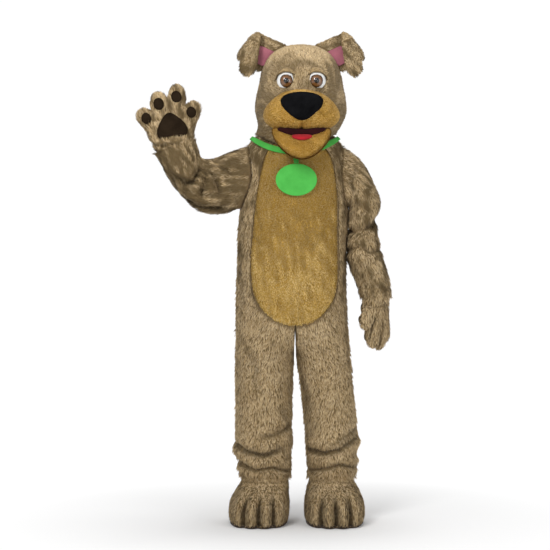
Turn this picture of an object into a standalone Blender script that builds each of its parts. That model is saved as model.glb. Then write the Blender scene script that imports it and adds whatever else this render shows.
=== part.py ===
"""Dog mascot costume of plush cloth: head, bodysuit, gloves, feet, collar and tag.

The set keeps its worn form, one arm raised, and is hollow. Lengths are in metres
and heights are above the soles. +Z is up, -Y is the front, and -X is the wearer's
right side. One empty carries every piece and lowers the set, so that the origin
lies where the wearer's shoulders hold it.
"""
import math

import bmesh
import bpy
import numpy as np
from mathutils import Matrix, Vector

# Main sizes
MOUNT_HEIGHT = 1.48      # shoulders that hold the suit, above the soles
GAP = 0.0003             # between pieces at a seam
COAT_WALL = 0.008        # long plush with its backing
BELLY_WALL = 0.005       # short plush
BELLY_SUNK = 0.002       # below the coat's surface
SLEEVE_WALL = 0.007
CARRIER = "shoulders"    # the empty that carries every piece
SAME = 1e-6              # points nearer than this are one point
STEP_UP = 0.003          # steps along and round the suit that its outward direction is read over
STEP_ROUND = 0.02
SHARP_EDGE = math.radians(50)  # edges over this angle stay sharp

# Heights of the bodysuit
HEM = 0.178
CROTCH = 0.660
FORK_TOP = 0.786
BELLY_TIP = 0.786
BELLY_ROUND = 0.960      # below this the belly panel's edge is an ellipse
UNDERARM = 1.250
ARMHOLE_TOP = 1.505
NECK_TOP = 1.570
ARMHOLE_SPREAD = {"right": 0.62, "left": 0.48}
ARMHOLE_ROWS = 9
FRONT_COLUMNS = 7
BACK_COLUMNS = 7
BELLY_COLUMNS = 8
SEAM_IN = 3 * GAP        # how far a sleeve's edge lies inside its armhole
LEG_RUNS = (             # first height, last height and number of rows
    (HEM, 0.400, 10),
    (0.450, 0.600, 4),
    (CROTCH, 0.756, 4),
)
BELLY_ANGLES = (90, 72, 54, 36, 18)  # rows of the belly panel's rounded end
WAIST_RUN = (BELLY_ROUND, 1.200, 5)
NECK_HEIGHTS = [1.530, 1.550, NECK_TOP]

# Sections of the bodysuit: half-widths, depths, inner leg and drop of the neckline
BODY_NAMES = ("height", "right_half", "left_half", "front", "back",
              "right_inner", "left_inner", "drop")
BODY_ROWS = (
    (0.178, 0.224, 0.244, 0.098, 0.100, 0.014, 0.046, 0.000),
    (0.230, 0.228, 0.248, 0.102, 0.104, 0.012, 0.046, 0.000),
    (0.300, 0.240, 0.252, 0.108, 0.108, 0.012, 0.044, 0.000),
    (0.400, 0.240, 0.246, 0.110, 0.112, 0.010, 0.034, 0.000),
    (0.500, 0.240, 0.238, 0.112, 0.118, 0.008, 0.024, 0.000),
    (0.600, 0.240, 0.228, 0.118, 0.126, 0.004, 0.010, 0.000),
    (0.660, 0.239, 0.222, 0.126, 0.134, 0.000, 0.000, 0.000),
    (0.730, 0.238, 0.216, 0.138, 0.140, 0.000, 0.000, 0.000),
    (0.800, 0.238, 0.211, 0.150, 0.146, 0.000, 0.000, 0.000),
    (0.960, 0.236, 0.206, 0.160, 0.148, 0.000, 0.000, 0.000),
    (1.100, 0.230, 0.203, 0.158, 0.142, 0.000, 0.000, 0.000),
    (1.250, 0.222, 0.210, 0.150, 0.140, 0.000, 0.000, 0.000),
    (1.350, 0.214, 0.208, 0.145, 0.140, 0.000, 0.000, 0.006),
    (1.430, 0.206, 0.204, 0.138, 0.138, 0.000, 0.000, 0.020),
    (1.505, 0.188, 0.188, 0.124, 0.128, 0.000, 0.000, 0.045),
    (1.540, 0.158, 0.158, 0.110, 0.114, 0.000, 0.000, 0.062),
    (1.560, 0.128, 0.128, 0.099, 0.101, 0.000, 0.000, 0.074),
    (1.574, 0.112, 0.112, 0.093, 0.094, 0.000, 0.000, 0.084),
)

# Belly panel's half-width on each side, above its rounded end
BELLY_NAMES = ("height", "right", "left")
BELLY_ROWS = (
    (0.960, 0.174, 0.168),
    (1.050, 0.178, 0.168),
    (1.136, 0.168, 0.166),
    (1.276, 0.156, 0.166),
    (1.368, 0.142, 0.160),
    (1.460, 0.124, 0.142),
    (1.505, 0.108, 0.122),
    (1.540, 0.090, 0.098),
    (1.574, 0.066, 0.068),
)

# Largest folds: angle 0 is the side seam, 90 the front, 180 the inner leg, -90 the back
FOLD_NAMES = ("side", "height", "angle", "spread", "half_height", "rise", "slope")
FOLD_ROWS = (
    (-1, 0.306, 60, 95, 0.022, 0.014, 0.010),
    (-1, 0.312, -110, 80, 0.022, 0.012, -0.008),
    (-1, 0.228, 40, 70, 0.014, 0.008, -0.006),
    (-1, 0.226, -70, 80, 0.014, 0.008, 0.006),
    (-1, 0.262, 80, 110, 0.014, -0.007, 0.004),
    (1, 0.322, 70, 95, 0.022, 0.015, -0.008),
    (1, 0.318, -100, 85, 0.022, 0.012, 0.008),
    (1, 0.240, 30, 80, 0.016, 0.009, 0.006),
    (1, 0.236, -80, 80, 0.014, 0.008, -0.004),
    (1, 0.274, 70, 110, 0.014, -0.008, -0.004),
    (1, 0.424, 15, 55, 0.022, 0.010, 0.012),
    (-1, 0.640, 40, 40, 0.030, 0.006, 0.050),
    (1, 0.640, 35, 40, 0.030, 0.006, 0.050),
    (-1, 0.560, -85, 45, 0.030, 0.007, -0.030),
    (1, 0.560, -85, 45, 0.030, 0.007, -0.030),
    (-1, 0.790, -75, 50, 0.030, 0.007, -0.040),
    (1, 0.790, -75, 50, 0.030, 0.007, -0.040),
    (-1, 1.160, 10, 40, 0.030, 0.006, 0.040),
    (1, 1.120, -50, 40, 0.030, 0.006, 0.040),
    (-1, 1.180, -60, 40, 0.028, 0.006, 0.050),
)
FOLD_FADE = 0.45         # radians over which a fold dies out before the centre seam

# Raised right sleeve: its upper and lower edge in the front view, middle and half depth
SLEEVE_NAMES = ("step", "top_x", "top_z", "low_x", "low_z", "y", "half_depth")
RAISED_ROWS = (
    (0, -0.250, 1.484, -0.248, 1.236, 0.004, 0.094),
    (1, -0.290, 1.466, -0.285, 1.228, 0.004, 0.096),
    (2, -0.326, 1.454, -0.322, 1.228, 0.002, 0.094),
    (3, -0.350, 1.450, -0.366, 1.236, -0.002, 0.092),
    (4, -0.365, 1.451, -0.418, 1.256, -0.008, 0.091),
    (5, -0.374, 1.459, -0.462, 1.296, -0.020, 0.090),
    (6, -0.379, 1.472, -0.494, 1.350, -0.038, 0.088),
    (7, -0.384, 1.492, -0.524, 1.408, -0.060, 0.084),
    (8, -0.392, 1.520, -0.558, 1.462, -0.084, 0.078),
)
# Hanging left sleeve: its outer and inner edge in the front view
HANGING_ROWS = (
    (0, 0.246, 1.466, 0.229, 1.258, 0.002, 0.084),
    (1, 0.288, 1.412, 0.231, 1.228, 0.000, 0.090),
    (2, 0.322, 1.340, 0.231, 1.194, -0.002, 0.092),
    (3, 0.346, 1.264, 0.230, 1.158, -0.004, 0.090),
    (4, 0.332, 1.188, 0.226, 1.116, -0.008, 0.086),
    (5, 0.340, 1.116, 0.221, 1.070, -0.012, 0.088),
    (6, 0.352, 1.056, 0.219, 1.022, -0.018, 0.086),
    (7, 0.374, 0.986, 0.230, 0.972, -0.024, 0.080),
    (8, 0.384, 0.930, 0.246, 0.926, -0.028, 0.076),
    (9, 0.385, 0.896, 0.256, 0.894, -0.030, 0.074),
)
SLEEVE_RINGS = {"right": 12, "left": 14}
SLEEVE_FOLDS = {
    # step, angle from the top, spread, half-length in steps, rise
    "right": ((3.2, 150, 60, 0.55, 0.006), (4.6, 170, 60, 0.5, -0.006), (1.6, 60, 70, 0.6, -0.005),
              (6.0, 120, 70, 0.5, 0.006), (2.4, 240, 70, 0.6, 0.006), (5.4, 250, 60, 0.5, -0.005)),
    "left": ((3.0, 20, 80, 0.45, 0.007), (4.1, 40, 90, 0.45, -0.007), (5.0, 330, 80, 0.45, 0.006),
             (6.6, 90, 80, 0.5, -0.004), (2.0, 270, 70, 0.5, 0.005), (5.8, 200, 60, 0.5, 0.004)),
}

# Gloves, measured from the wrist: across towards the thumb, along the fingers
PALM_NAMES = ("along", "half_width", "half_thick")
PALM_ROWS = (
    (0.024, 0.086, 0.056),
    (0.055, 0.098, 0.049),
    (0.090, 0.097, 0.046),
    (0.120, 0.074, 0.036),
    (0.136, 0.040, 0.022),
)
PALM_TOP = 0.142
CUFF_DEPTH = 0.030       # how far the wrist reaches into the sleeve
CUFF_SLACK = 0.010       # how much narrower it is at that end
CUFF_TURN = 0.3          # steps of the sleeve's table that its direction at the cuff is read over
GLOVE_WALL = 0.006
GLOVE_SIDES = 2 * (ARMHOLE_ROWS - 1)
DIGITS = 4
DIGIT_SIDES = 8
DIGIT_ROOT_RINGS = 3
DIGIT_TIP_RINGS = 4
DIGIT_NAMES = ("base_across", "base_along", "end_across", "end_along", "radius")
DIGIT_ROWS = {
    "right": ((-0.048, 0.078, -0.090, 0.138, 0.037), (-0.028, 0.098, -0.022, 0.184, 0.040),
              (0.026, 0.098, 0.054, 0.196, 0.039), (0.056, 0.066, 0.102, 0.122, 0.037)),
    "left": ((-0.040, 0.070, -0.050, 0.150, 0.029), (-0.010, 0.085, -0.014, 0.176, 0.031),
             (0.028, 0.085, 0.027, 0.168, 0.030), (0.045, 0.040, 0.074, 0.098, 0.027)),
}
PALM_SCALE = {"right": 1.0, "left": 0.78}
GLOVE_AXES = {
    # across, along, palm
    "right": ((0.975, 0.0, 0.222), (-0.222, -0.05, 0.974), (0.0, -1.0, 0.0)),
    "left": ((-0.62, -0.78, 0.0), (0.02, -0.03, -1.0), (-0.78, 0.62, 0.0)),
}
PAD_RISE = 0.004
PAD_SEAT = 0.0008        # between a pad and the glove's facets
PALM_PAD_PLACE = (0.006, 0.074)
PALM_PAD_HALF = (0.058, 0.058)
PALM_PAD_RISE = 0.056
PALM_PAD_TAPER = 0.5     # how much narrower it is towards the fingers
DIGIT_PAD_BACK = 0.012   # how far a digit's pad lies behind the middle of its round end
DIGIT_PAD_HALF = (0.54, 0.62)  # half width and length, against the digit's radius
PAD_PROFILE = ((0.96, 0.3), (1.0, 0.88), (0.86, 0.97), (0.5, 1.0), (0.0, 1.02))  # width, height
PAD_SIDES = 16

# Feet: sections from the sole up
FOOT_NAMES = ("height", "half", "front", "back", "shift", "notch")
FOOT_ROWS = (
    (0.0120, 0.116, 0.204, 0.108, -0.012, 0.10),
    (0.0350, 0.122, 0.214, 0.116, -0.012, 0.15),
    (0.0700, 0.122, 0.214, 0.118, -0.011, 0.17),
    (0.1000, 0.117, 0.200, 0.114, -0.009, 0.15),
    (0.1260, 0.107, 0.166, 0.107, -0.006, 0.09),
    (0.1500, 0.100, 0.126, 0.100, -0.002, 0.02),
)
FOOT_OUT = {"right": 2.1, "left": 1.0}   # how far each foot stands out, against its table's shift
ANKLE_HEIGHTS = (0.1720, 0.2000)
ANKLE_CLEAR = 0.0041
FOOT_WALL = 0.008
SOLE_THICK = 0.0117
TOE_PITCH = 0.48         # distance between notches, as a share of the half width
TOE_CURVE = 2.6
TOE_STEPS = 4            # points from one notch to the next
TOE_EDGE = 0.97          # the front's outermost point, as a share of the half width
TOE_SHARP = 4            # how narrow a notch is
TOES_REACH = 0.9         # past this share of the half width there is no notch
HEEL_STEPS = 9

# Head: sections from the neck up, about its own middle
HEAD_X = 0.023
HEAD_NAMES = ("height", "half", "front", "back")
HEAD_ROWS = (
    (1.585, 0.166, 0.158, 0.166),
    (1.630, 0.186, 0.170, 0.184),
    (1.685, 0.182, 0.176, 0.192),
    (1.740, 0.169, 0.168, 0.190),
    (1.795, 0.160, 0.156, 0.180),
    (1.842, 0.140, 0.134, 0.158),
    (1.876, 0.109, 0.101, 0.122),
    (1.897, 0.066, 0.060, 0.073),
)
CROWN = 1.906
HEAD_SIDES = 24
HEAD_WALL = 0.014
HEAD_SEAT = 0.0008       # between the pieces of the head
HEAD_RIM = (1.540, 1.556)  # heights on the suit that the rim's outer and inner edge rest on
RIM_LIFT = 0.0030        # rim above the suit's own curve, just clear of its facets
REST_LIFT = 0.0020       # collar above the suit's curve

# Face: centre, then reach to each side, front, back, up, down, then how a form slopes to the
# front, narrows upwards and curves up to its sides
FACE_NAMES = ("x", "y", "z", "wide", "front", "back", "up", "down", "slope", "taper", "smile")
FACE_ROWS = {
    "muzzle": (0.000, -0.166, 1.610, 0.154, 0.110, 0.080, 0.098, 0.078, 0.00, -0.12, 0.0),
    "jaw": (0.000, -0.198, 1.490, 0.118, 0.076, 0.078, 0.052, 0.054, 0.46, 0.16, 3.0),
    "mouth_lining": (0.000, -0.204, 1.530, 0.098, 0.034, 0.030, 0.038, 0.040, 0.20, 0.00, 1.6),
    "tongue": (0.000, -0.203, 1.522, 0.050, 0.066, 0.060, 0.012, 0.018, 0.22, 0.00, 1.6),
    "nose": (0.000, -0.258, 1.640, 0.082, 0.044, 0.060, 0.048, 0.068, 0.00, 0.28, 0.0),
    "eye": (0.059, -0.140, 1.744, 0.038, 0.034, 0.040, 0.044, 0.042, 0.00, 0.00, 0.0),
    "iris": (0.059, -0.160, 1.741, 0.027, 0.0185, 0.030, 0.029, 0.029, 0.00, 0.00, 0.0),
    "pupil": (0.059, -0.166, 1.740, 0.0150, 0.0160, 0.020, 0.017, 0.017, 0.00, 0.00, 0.0),
    "eyelid": (0.059, -0.139, 1.745, 0.045, 0.041, 0.040, 0.054, 0.044, 0.00, 0.00, 0.0),
    "lid_arch": (0.059, -0.200, 1.700, 0.072, 0.120, 0.120, 0.077, 0.080, 0.00, 0.00, 0.0),
}
FORM_SIDES = 18
EYE_SIDES = 16
PUPIL_SIDES = 12
FORM_RINGS = 9

# Ears about the head's middle: base, fold and tip lines from the inner to the outer edge
EAR_BASE = ((0.030, 0.000, 1.894), (0.120, 0.000, 1.772))
EAR_FOLD = ((0.166, -0.004, 1.954), (0.254, -0.004, 1.846))
EAR_TIP = ((0.176, -0.052, 1.780), (0.248, -0.050, 1.786))
EAR_CORNER_SHARP = 4     # how close to its ends the fold is drawn in
EAR_CORNER = 0.10        # share by which the fold's two ends are drawn in
EAR_BEND = 0.016
EAR_WALL = 0.010
EAR_COLUMNS = 7
EAR_RISE_ROWS = 5
EAR_BEND_ROWS = 4
EAR_HANG_ROWS = 5
EAR_TIP_ROUND = 0.030    # how far the tip's middle hangs past its corners
EAR_TIP_LEVEL = 0.5      # share of that by which its corners are drawn up
LINING_WALL = 0.003
LINING_COLUMNS = slice(2, -1)

# Collar and tag
COLLAR_ROWS = ((1.496, 0.026), (1.514, 0.013), (1.530, 0.003))  # height in front, rise at the sides
COLLAR_WALL = 0.007
COLLAR_SIDES = 32
TAG_CENTRE = Vector((0.003, -0.161, 1.355))
TAG_HALF_WIDTH = 0.081
TAG_HALF_HEIGHT = 0.063
TAG_WALL = 0.009
TAG_LEAN = math.radians(4)
TAG_SIDES = 32
TAG_PROFILE = ((-0.5, 0), (-0.5, 0.965), (-0.3, 1), (0.3, 1), (0.5, 0.965), (0.5, 0))  # depth, size
TAB_WIDTH = 0.020
TAB_WALL = 0.004
TAB_START = 0.02         # share of the way from the collar to the tag


class Profile:
    """A table of sections that is read smoothly between its rows."""

    def __init__(self, names, rows):
        self.names = names
        self.rows = np.array(rows, dtype=float)
        rates = np.diff(self.rows, axis=0) / np.diff(self.rows[:, 0])[:, None]
        self.slopes = np.vstack((rates[:1], rates[:-1], rates[-1:]))
        for index in range(1, len(rows) - 1):
            before = rates[index - 1]
            after = rates[index]
            total = np.where(before + after == 0, 1, before + after)
            steady = np.where(before * after > 0, 2 * before * after / total, 0)
            self.slopes[index] = steady

    def read(self, place):
        """The named values at one place along the table."""
        places = self.rows[:, 0]
        place = min(max(place, places[0]), places[-1])
        index = min(max(int(np.searchsorted(places, place)) - 1, 0), len(places) - 2)
        length = places[index + 1] - places[index]
        share = (place - places[index]) / length
        squared = share * share
        cubed = squared * share
        values = (self.rows[index] * (2 * cubed - 3 * squared + 1)
                  + self.rows[index + 1] * (3 * squared - 2 * cubed)
                  + self.slopes[index] * length * (cubed - 2 * squared + share)
                  + self.slopes[index + 1] * length * (cubed - squared))
        return dict(zip(self.names, values))


BODY = Profile(BODY_NAMES, BODY_ROWS)
BELLY = Profile(BELLY_NAMES, BELLY_ROWS)
SLEEVES = {-1: Profile(SLEEVE_NAMES, RAISED_ROWS), 1: Profile(SLEEVE_NAMES, HANGING_ROWS)}


def side_name(side):
    """The wearer's side as a word."""
    return "right" if side < 0 else "left"


def body_section(side, height):
    """Centre, radius and end angle of the half section on one side."""
    row = BODY.read(height)
    half = row[side_name(side) + "_half"]
    inner = row[side_name(side) + "_inner"]
    if height < CROTCH:
        return row, (half + inner) / 2, (half - inner) / 2, math.pi
    share = min((height - CROTCH) / (FORK_TOP - CROTCH), 1)
    split = 1 - share * share * (3 - 2 * share)
    return row, half * split / (1 + split), half / (1 + split), math.acos(-split)


def plain_point(side, height, angle):
    """A point of the bodysuit without folds."""
    row, centre, radius, _ = body_section(side, height)
    sine = math.sin(angle)
    depth = row["front"] if angle >= 0 else row["back"]
    drop = row["drop"] * sine * sine if angle > 0 else 0
    return Vector((side * (centre + radius * math.cos(angle)), -depth * sine, height - drop))


def body_normal(side, height, angle):
    """The outward direction at a point of the bodysuit."""
    along = plain_point(side, height + STEP_UP, angle) - plain_point(side, height - STEP_UP, angle)
    around = plain_point(side, height, angle + STEP_ROUND) - plain_point(side, height, angle - STEP_ROUND)
    return (along.cross(around) * side).normalized()


def fold_rise(side, height, angle):
    """How far the largest folds lift or sink a point."""
    end = body_section(side, height)[3]
    total = 0
    for row in FOLD_ROWS:
        fold = dict(zip(FOLD_NAMES, row))
        if fold["side"] != side:
            continue
        turn = angle - math.radians(fold["angle"])
        turn = (turn + math.pi) % (2 * math.pi) - math.pi
        lift = height - fold["height"] - fold["slope"] * turn
        across = turn / math.radians(fold["spread"])
        up = lift / fold["half_height"]
        total += fold["rise"] * math.exp(-across * across - up * up)
    if height > CROTCH:
        total *= min(max((end - abs(angle)) / FOLD_FADE, 0), 1)
    return total


def body_point(side, height, angle, lift=0.0):
    """A point of the bodysuit's surface, lifted off it or sunk into its wall."""
    normal = body_normal(side, height, angle)
    return plain_point(side, height, angle) + normal * (fold_rise(side, height, angle) + lift)


def torso_point(height, turn, lift=0.0):
    """A point round the whole torso: turn 0 is +X, 90 degrees the front."""
    side = 1 if math.cos(turn) >= 0 else -1
    return body_point(side, height, math.asin(math.sin(turn)), lift)


def material(name, colour, roughness):
    """A plain material in the piece's own colour."""
    made = bpy.data.materials.get(name) or bpy.data.materials.new(name)
    made.use_nodes = True
    shader = made.node_tree.nodes["Principled BSDF"]
    shader.inputs["Base Color"].default_value = (*colour, 1)
    shader.inputs["Roughness"].default_value = roughness
    shader.inputs["Metallic"].default_value = 0
    return made


COLOURS = {
    "coat": ((0.216, 0.150, 0.084), 0.9),
    "belly": ((0.376, 0.223, 0.065), 0.85),
    "muzzle": ((0.485, 0.262, 0.058), 0.85),
    "nose": ((0.010, 0.010, 0.013), 0.5),
    "pad": ((0.032, 0.019, 0.012), 0.7),
    "lining": ((0.578, 0.188, 0.235), 0.8),
    "green": ((0.095, 0.604, 0.107), 0.7),
    "mouth": ((0.100, 0.008, 0.010), 0.6),
    "tongue": ((0.456, 0.013, 0.021), 0.5),
    "eye_white": ((0.820, 0.820, 0.800), 0.25),
    "iris": ((0.130, 0.055, 0.018), 0.2),
    "pupil": ((0.008, 0.008, 0.008), 0.15),
    "sole": ((0.060, 0.045, 0.035), 0.9),
}


def finish(build, name, finish_name):
    """Turns a built mesh into an object; a cutter has no finish."""
    mesh = bpy.data.meshes.new(name)
    bmesh.ops.recalc_face_normals(build, faces=build.faces[:])
    build.to_mesh(mesh)
    build.free()
    made = bpy.data.objects.new(name, mesh)
    bpy.context.collection.objects.link(made)
    made.parent = bpy.data.objects[CARRIER]
    if finish_name is None:
        made.hide_render = True
        made.display_type = "WIRE"
    else:
        mesh.materials.append(material(finish_name, *COLOURS[finish_name]))
        mesh.shade_smooth()
        mesh.set_sharp_from_angle(angle=SHARP_EDGE)
    return made


def skin(outer, inner=None, ring=False):
    """A mesh through rows of points, with an inner layer where it is a wall."""
    if ring:
        outer = [list(row) + [row[0]] for row in outer]
    places = [point for row in outer for point in row]
    build = bmesh.new()
    bmesh.ops.create_grid(build, x_segments=len(outer[0]) - 1, y_segments=len(outer) - 1, size=1)
    number = build.verts.layers.int.new("number")
    for index, (vertex, place) in enumerate(zip(build.verts[:], places)):
        vertex.co = place
        vertex[number] = index
    bmesh.ops.remove_doubles(build, verts=build.verts[:], dist=SAME)
    if inner is None:
        return build
    if ring:
        inner = [list(row) + [row[0]] for row in inner]
    deep = [point for row in inner for point in row]
    grown = bmesh.ops.extrude_face_region(build, geom=build.faces[:])
    for item in grown["geom"]:
        if isinstance(item, bmesh.types.BMVert):
            item.co = deep[item[number]]
    return build


def spaced(start, end, count):
    """Evenly spaced numbers from start to end, both included."""
    return [start + (end - start) * index / (count - 1) for index in range(count)]


def cut(piece, tool, operation="DIFFERENCE"):
    """Cuts a piece by a tool, or joins the tool to it."""
    modifier = piece.modifiers.new(operation.title(), "BOOLEAN")
    modifier.operation = operation
    modifier.solver = "EXACT"
    modifier.object = tool


def armhole_turn(index):
    """Angle round the armhole of one of its rows, from its top to its foot."""
    return math.pi * index / (ARMHOLE_ROWS - 1)


def armhole_height(index):
    """Height of one of the armhole's rows, from its top to its foot."""
    middle = (ARMHOLE_TOP + UNDERARM) / 2
    return middle + (ARMHOLE_TOP - UNDERARM) / 2 * math.cos(armhole_turn(index))


# Heights of the bodysuit's rows
LEG_HEIGHTS = [height for run in LEG_RUNS for height in spaced(*run)]
BELLY_STEPS = [math.radians(angle) for angle in BELLY_ANGLES]
BELLY_DROP = BELLY_ROUND - BELLY_TIP
ROUND_HEIGHTS = [BELLY_ROUND - BELLY_DROP * math.sin(angle) for angle in BELLY_STEPS]
WAIST_HEIGHTS = spaced(*WAIST_RUN)
ARMHOLE_HEIGHTS = [armhole_height(index) for index in reversed(range(ARMHOLE_ROWS))]
HEIGHTS = LEG_HEIGHTS + ROUND_HEIGHTS + WAIST_HEIGHTS + ARMHOLE_HEIGHTS + NECK_HEIGHTS
ARMHOLE_START = len(LEG_HEIGHTS) + len(ROUND_HEIGHTS) + len(WAIST_HEIGHTS)
BELLY_START = len(LEG_HEIGHTS)


def armhole_angle(side, row):
    """Where a panel's edge lies at the armhole, as an angle from the side seam."""
    place = row - ARMHOLE_START
    if 0 <= place < ARMHOLE_ROWS:
        return ARMHOLE_SPREAD[side_name(side)] * math.sin(armhole_turn(place))
    return 0


def belly_half(side, row):
    """Half-width of the belly opening at a row of the front."""
    if row < BELLY_START:
        return 0
    wide = BELLY.read(max(HEIGHTS[row], BELLY_ROUND))[side_name(side)]
    place = row - BELLY_START
    if place >= len(BELLY_STEPS):
        return wide
    return 0 if place == 0 else wide * math.cos(BELLY_STEPS[place])


def belly_angle(side, row, half):
    """The angle at which the surface lies at this distance from the centre line."""
    _, centre, radius, end = body_section(side, HEIGHTS[row])
    if half < SAME:
        return end
    return min(math.acos((half - centre) / radius), end)


def panel(side, front):
    """A front or back of the bodysuit from the shoulder to the leg's hem."""
    outer = []
    inner = []
    seam = Vector((side * GAP / 2, -GAP / 2 if front else GAP / 2, 0))
    for row, height in enumerate(HEIGHTS):
        start = armhole_angle(side, row)
        if front:
            angles = spaced(start, belly_angle(side, row, belly_half(side, row)), FRONT_COLUMNS)
        else:
            angles = spaced(-start, -body_section(side, height)[3], BACK_COLUMNS)
        outer.append([body_point(side, height, angle) + seam for angle in angles])
        inner.append([body_point(side, height, angle, -COAT_WALL) + seam for angle in angles])
    word = "front_" if front else "back_"
    finish(skin(outer, inner), word + side_name(side), "coat")


def belly_point(side, row, half, lift):
    """A point of the belly panel at this distance from the centre line."""
    place = body_point(side, HEIGHTS[row], belly_angle(side, row, half), lift)
    if half < SAME:
        place.x = 0
    return place


def belly_panel():
    """The tan panel down the front, between the two fronts."""
    outer = []
    inner = []
    for row in range(BELLY_START, len(HEIGHTS)):
        place = row - BELLY_START
        rise = GAP * math.sin(BELLY_STEPS[place]) if place < len(BELLY_STEPS) else 0
        seam = Vector((0, -GAP / 2, rise))
        places = []
        for side, shares in ((-1, spaced(1, 0, BELLY_COLUMNS // 2 + 1)[:-1]),
                             (1, spaced(0, 1, BELLY_COLUMNS // 2 + 1))):
            edge = max(belly_half(side, row) - GAP / 2, 0)
            places += [(side, edge * share) for share in shares]
        outer.append([belly_point(side, row, half, -BELLY_SUNK) + seam for side, half in places])
        inner.append([belly_point(side, row, half, -BELLY_SUNK - BELLY_WALL) + seam
                      for side, half in places])
    finish(skin(outer, inner), "belly_panel", "belly")


def armhole_loop(side, lift):
    """The armhole's edge, from its top down the front and up the back."""
    rows = [ARMHOLE_START + ARMHOLE_ROWS - 1 - index for index in range(ARMHOLE_ROWS)]
    centre = body_point(side, (ARMHOLE_TOP + UNDERARM) / 2, 0)
    points = []
    for front, order in ((1, rows), (-1, rows[-2:0:-1])):
        for row in order:
            angle = armhole_angle(side, row) * front
            place = body_point(side, HEIGHTS[row], angle, lift)
            normal = body_normal(side, HEIGHTS[row], angle)
            inward = centre - place
            inward = (inward - normal * inward.dot(normal)).normalized()
            points.append(place + inward * SEAM_IN)
    return points


def sleeve_frame(side, step):
    """Middle, half span and half depth of a sleeve's section at a step of its table."""
    row = SLEEVES[side].read(step)
    top = Vector((row["top_x"], row["y"], row["top_z"]))
    low = Vector((row["low_x"], row["y"], row["low_z"]))
    return (top + low) / 2, (top - low) / 2, row["half_depth"]


def sleeve_ring(side, step, lift):
    """One section of a sleeve, in step with the armhole's points."""
    middle, span, depth = sleeve_frame(side, step)
    count = 2 * (ARMHOLE_ROWS - 1)
    ring = []
    for index in range(count):
        turn = 2 * math.pi * index / count
        rise = lift
        for fold_step, fold_angle, spread, length, height in SLEEVE_FOLDS[side_name(side)]:
            round_part = turn - math.radians(fold_angle)
            round_part = (round_part + math.pi) % (2 * math.pi) - math.pi
            round_part /= math.radians(spread)
            along_part = (step - fold_step) / length
            rise += height * math.exp(-round_part * round_part - along_part * along_part)
        across = span.normalized() * (span.length + rise) * math.cos(turn)
        ring.append(middle + across + Vector((0, -(depth + rise) * math.sin(turn), 0)))
    return ring


def sleeve(side):
    """A sleeve from the armhole's edge to the open cuff."""
    last = len(SLEEVES[side].rows) - 1
    steps = spaced(0, last, SLEEVE_RINGS[side_name(side)])
    outer = [armhole_loop(side, 0)] + [sleeve_ring(side, step, 0) for step in steps]
    inner = [armhole_loop(side, -COAT_WALL)] + [sleeve_ring(side, step, -SLEEVE_WALL) for step in steps]
    finish(skin(outer, inner, ring=True), "sleeve_" + side_name(side), "coat")


def grow_rows(rows, depth):
    """Rows of points moved along the surface's own directions."""
    places = np.array([[tuple(point) for point in row] for row in rows])
    along = np.gradient(places, axis=0)
    around = np.gradient(places, axis=1)
    normals = np.cross(along, around)
    normals /= np.linalg.norm(normals, axis=2, keepdims=True)
    return [[Vector(point) for point in row] for row in places + normals * depth]


def blob_rows(values, grow, sides):
    """Rows of a rounded form from its back to its front."""
    rows = []
    for place in spaced(0, math.pi, FORM_RINGS):
        level = -math.cos(place)
        ring = []
        for index in range(sides):
            turn = 2 * math.pi * index / sides
            across = math.sin(place) * math.cos(turn)
            up = math.sin(place) * math.sin(turn)
            y = -level * (values["front"] + grow if level > 0 else values["back"] + grow)
            x = across * (values["wide"] + grow) * (1 + values["taper"] * up)
            z = up * (values["up"] + grow if up > 0 else values["down"] + grow) + values["slope"] * y
            z += values["smile"] * x * x
            ring.append(Vector((values["x"] + x, values["y"] + y, values["z"] + z)))
        rows.append(ring)
    return rows


def face_form(word, side, grow, sides=FORM_SIDES):
    """The rounded form of a piece of the face, as a mesh."""
    values = dict(zip(FACE_NAMES, FACE_ROWS[word]))
    values["x"] = HEAD_X + side * values["x"]
    return skin(blob_rows(values, grow, sides), ring=True)


def head_rows(grow):
    """Rows of the head's shell, from its rim on the suit to its crown."""
    turns = [2 * math.pi * index / HEAD_SIDES for index in range(HEAD_SIDES)]
    rim = HEAD_RIM[0] if grow > -HEAD_WALL / 2 else HEAD_RIM[1]
    rows = [[torso_point(rim, turn, RIM_LIFT) for turn in turns]]
    for values in HEAD_ROWS:
        row = dict(zip(HEAD_NAMES, values))
        ring = []
        for turn in turns:
            depth = row["front"] if math.sin(turn) > 0 else row["back"]
            ring.append(Vector((HEAD_X + (row["half"] + grow) * math.cos(turn),
                                -(depth + grow) * math.sin(turn), row["height"])))
        rows.append(ring)
    rows.append([Vector((HEAD_X, 0, CROWN + grow)) for turn in turns])
    return rows


def head_cutter():
    """The head's outer form, a seam's gap larger."""
    return finish(solid_of(head_rows(HEAD_SEAT)), "cutter_head", None)


def solid_of(rows):
    """A closed form through rings of points, with flat ends."""
    middle = sum(rows[0], Vector()) / len(rows[0])
    return skin([[middle] * len(rows[0])] + rows, ring=True)


def head():
    """The head's shell and everything on its face."""
    finish(skin(head_rows(0), head_rows(-HEAD_WALL), ring=True), "head_shell", "coat")
    shell = head_cutter()
    cutters = {}
    for word in ("muzzle", "jaw", "tongue"):
        cutters[word] = finish(face_form(word, 0, HEAD_SEAT), "cutter_" + word, None)
    for word, colour, tools in (("muzzle", "muzzle", ()), ("jaw", "muzzle", ("muzzle",)),
                                ("tongue", "tongue", ("muzzle", "jaw")),
                                ("mouth_lining", "mouth", ("muzzle", "jaw", "tongue")),
                                ("nose", "nose", ("muzzle",))):
        piece = finish(face_form(word, 0, 0), word, colour)
        cut(piece, shell)
        for tool in tools:
            cut(piece, cutters[tool])
    for side in (-1, 1):
        eye(side, shell, cutters["muzzle"])


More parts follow.
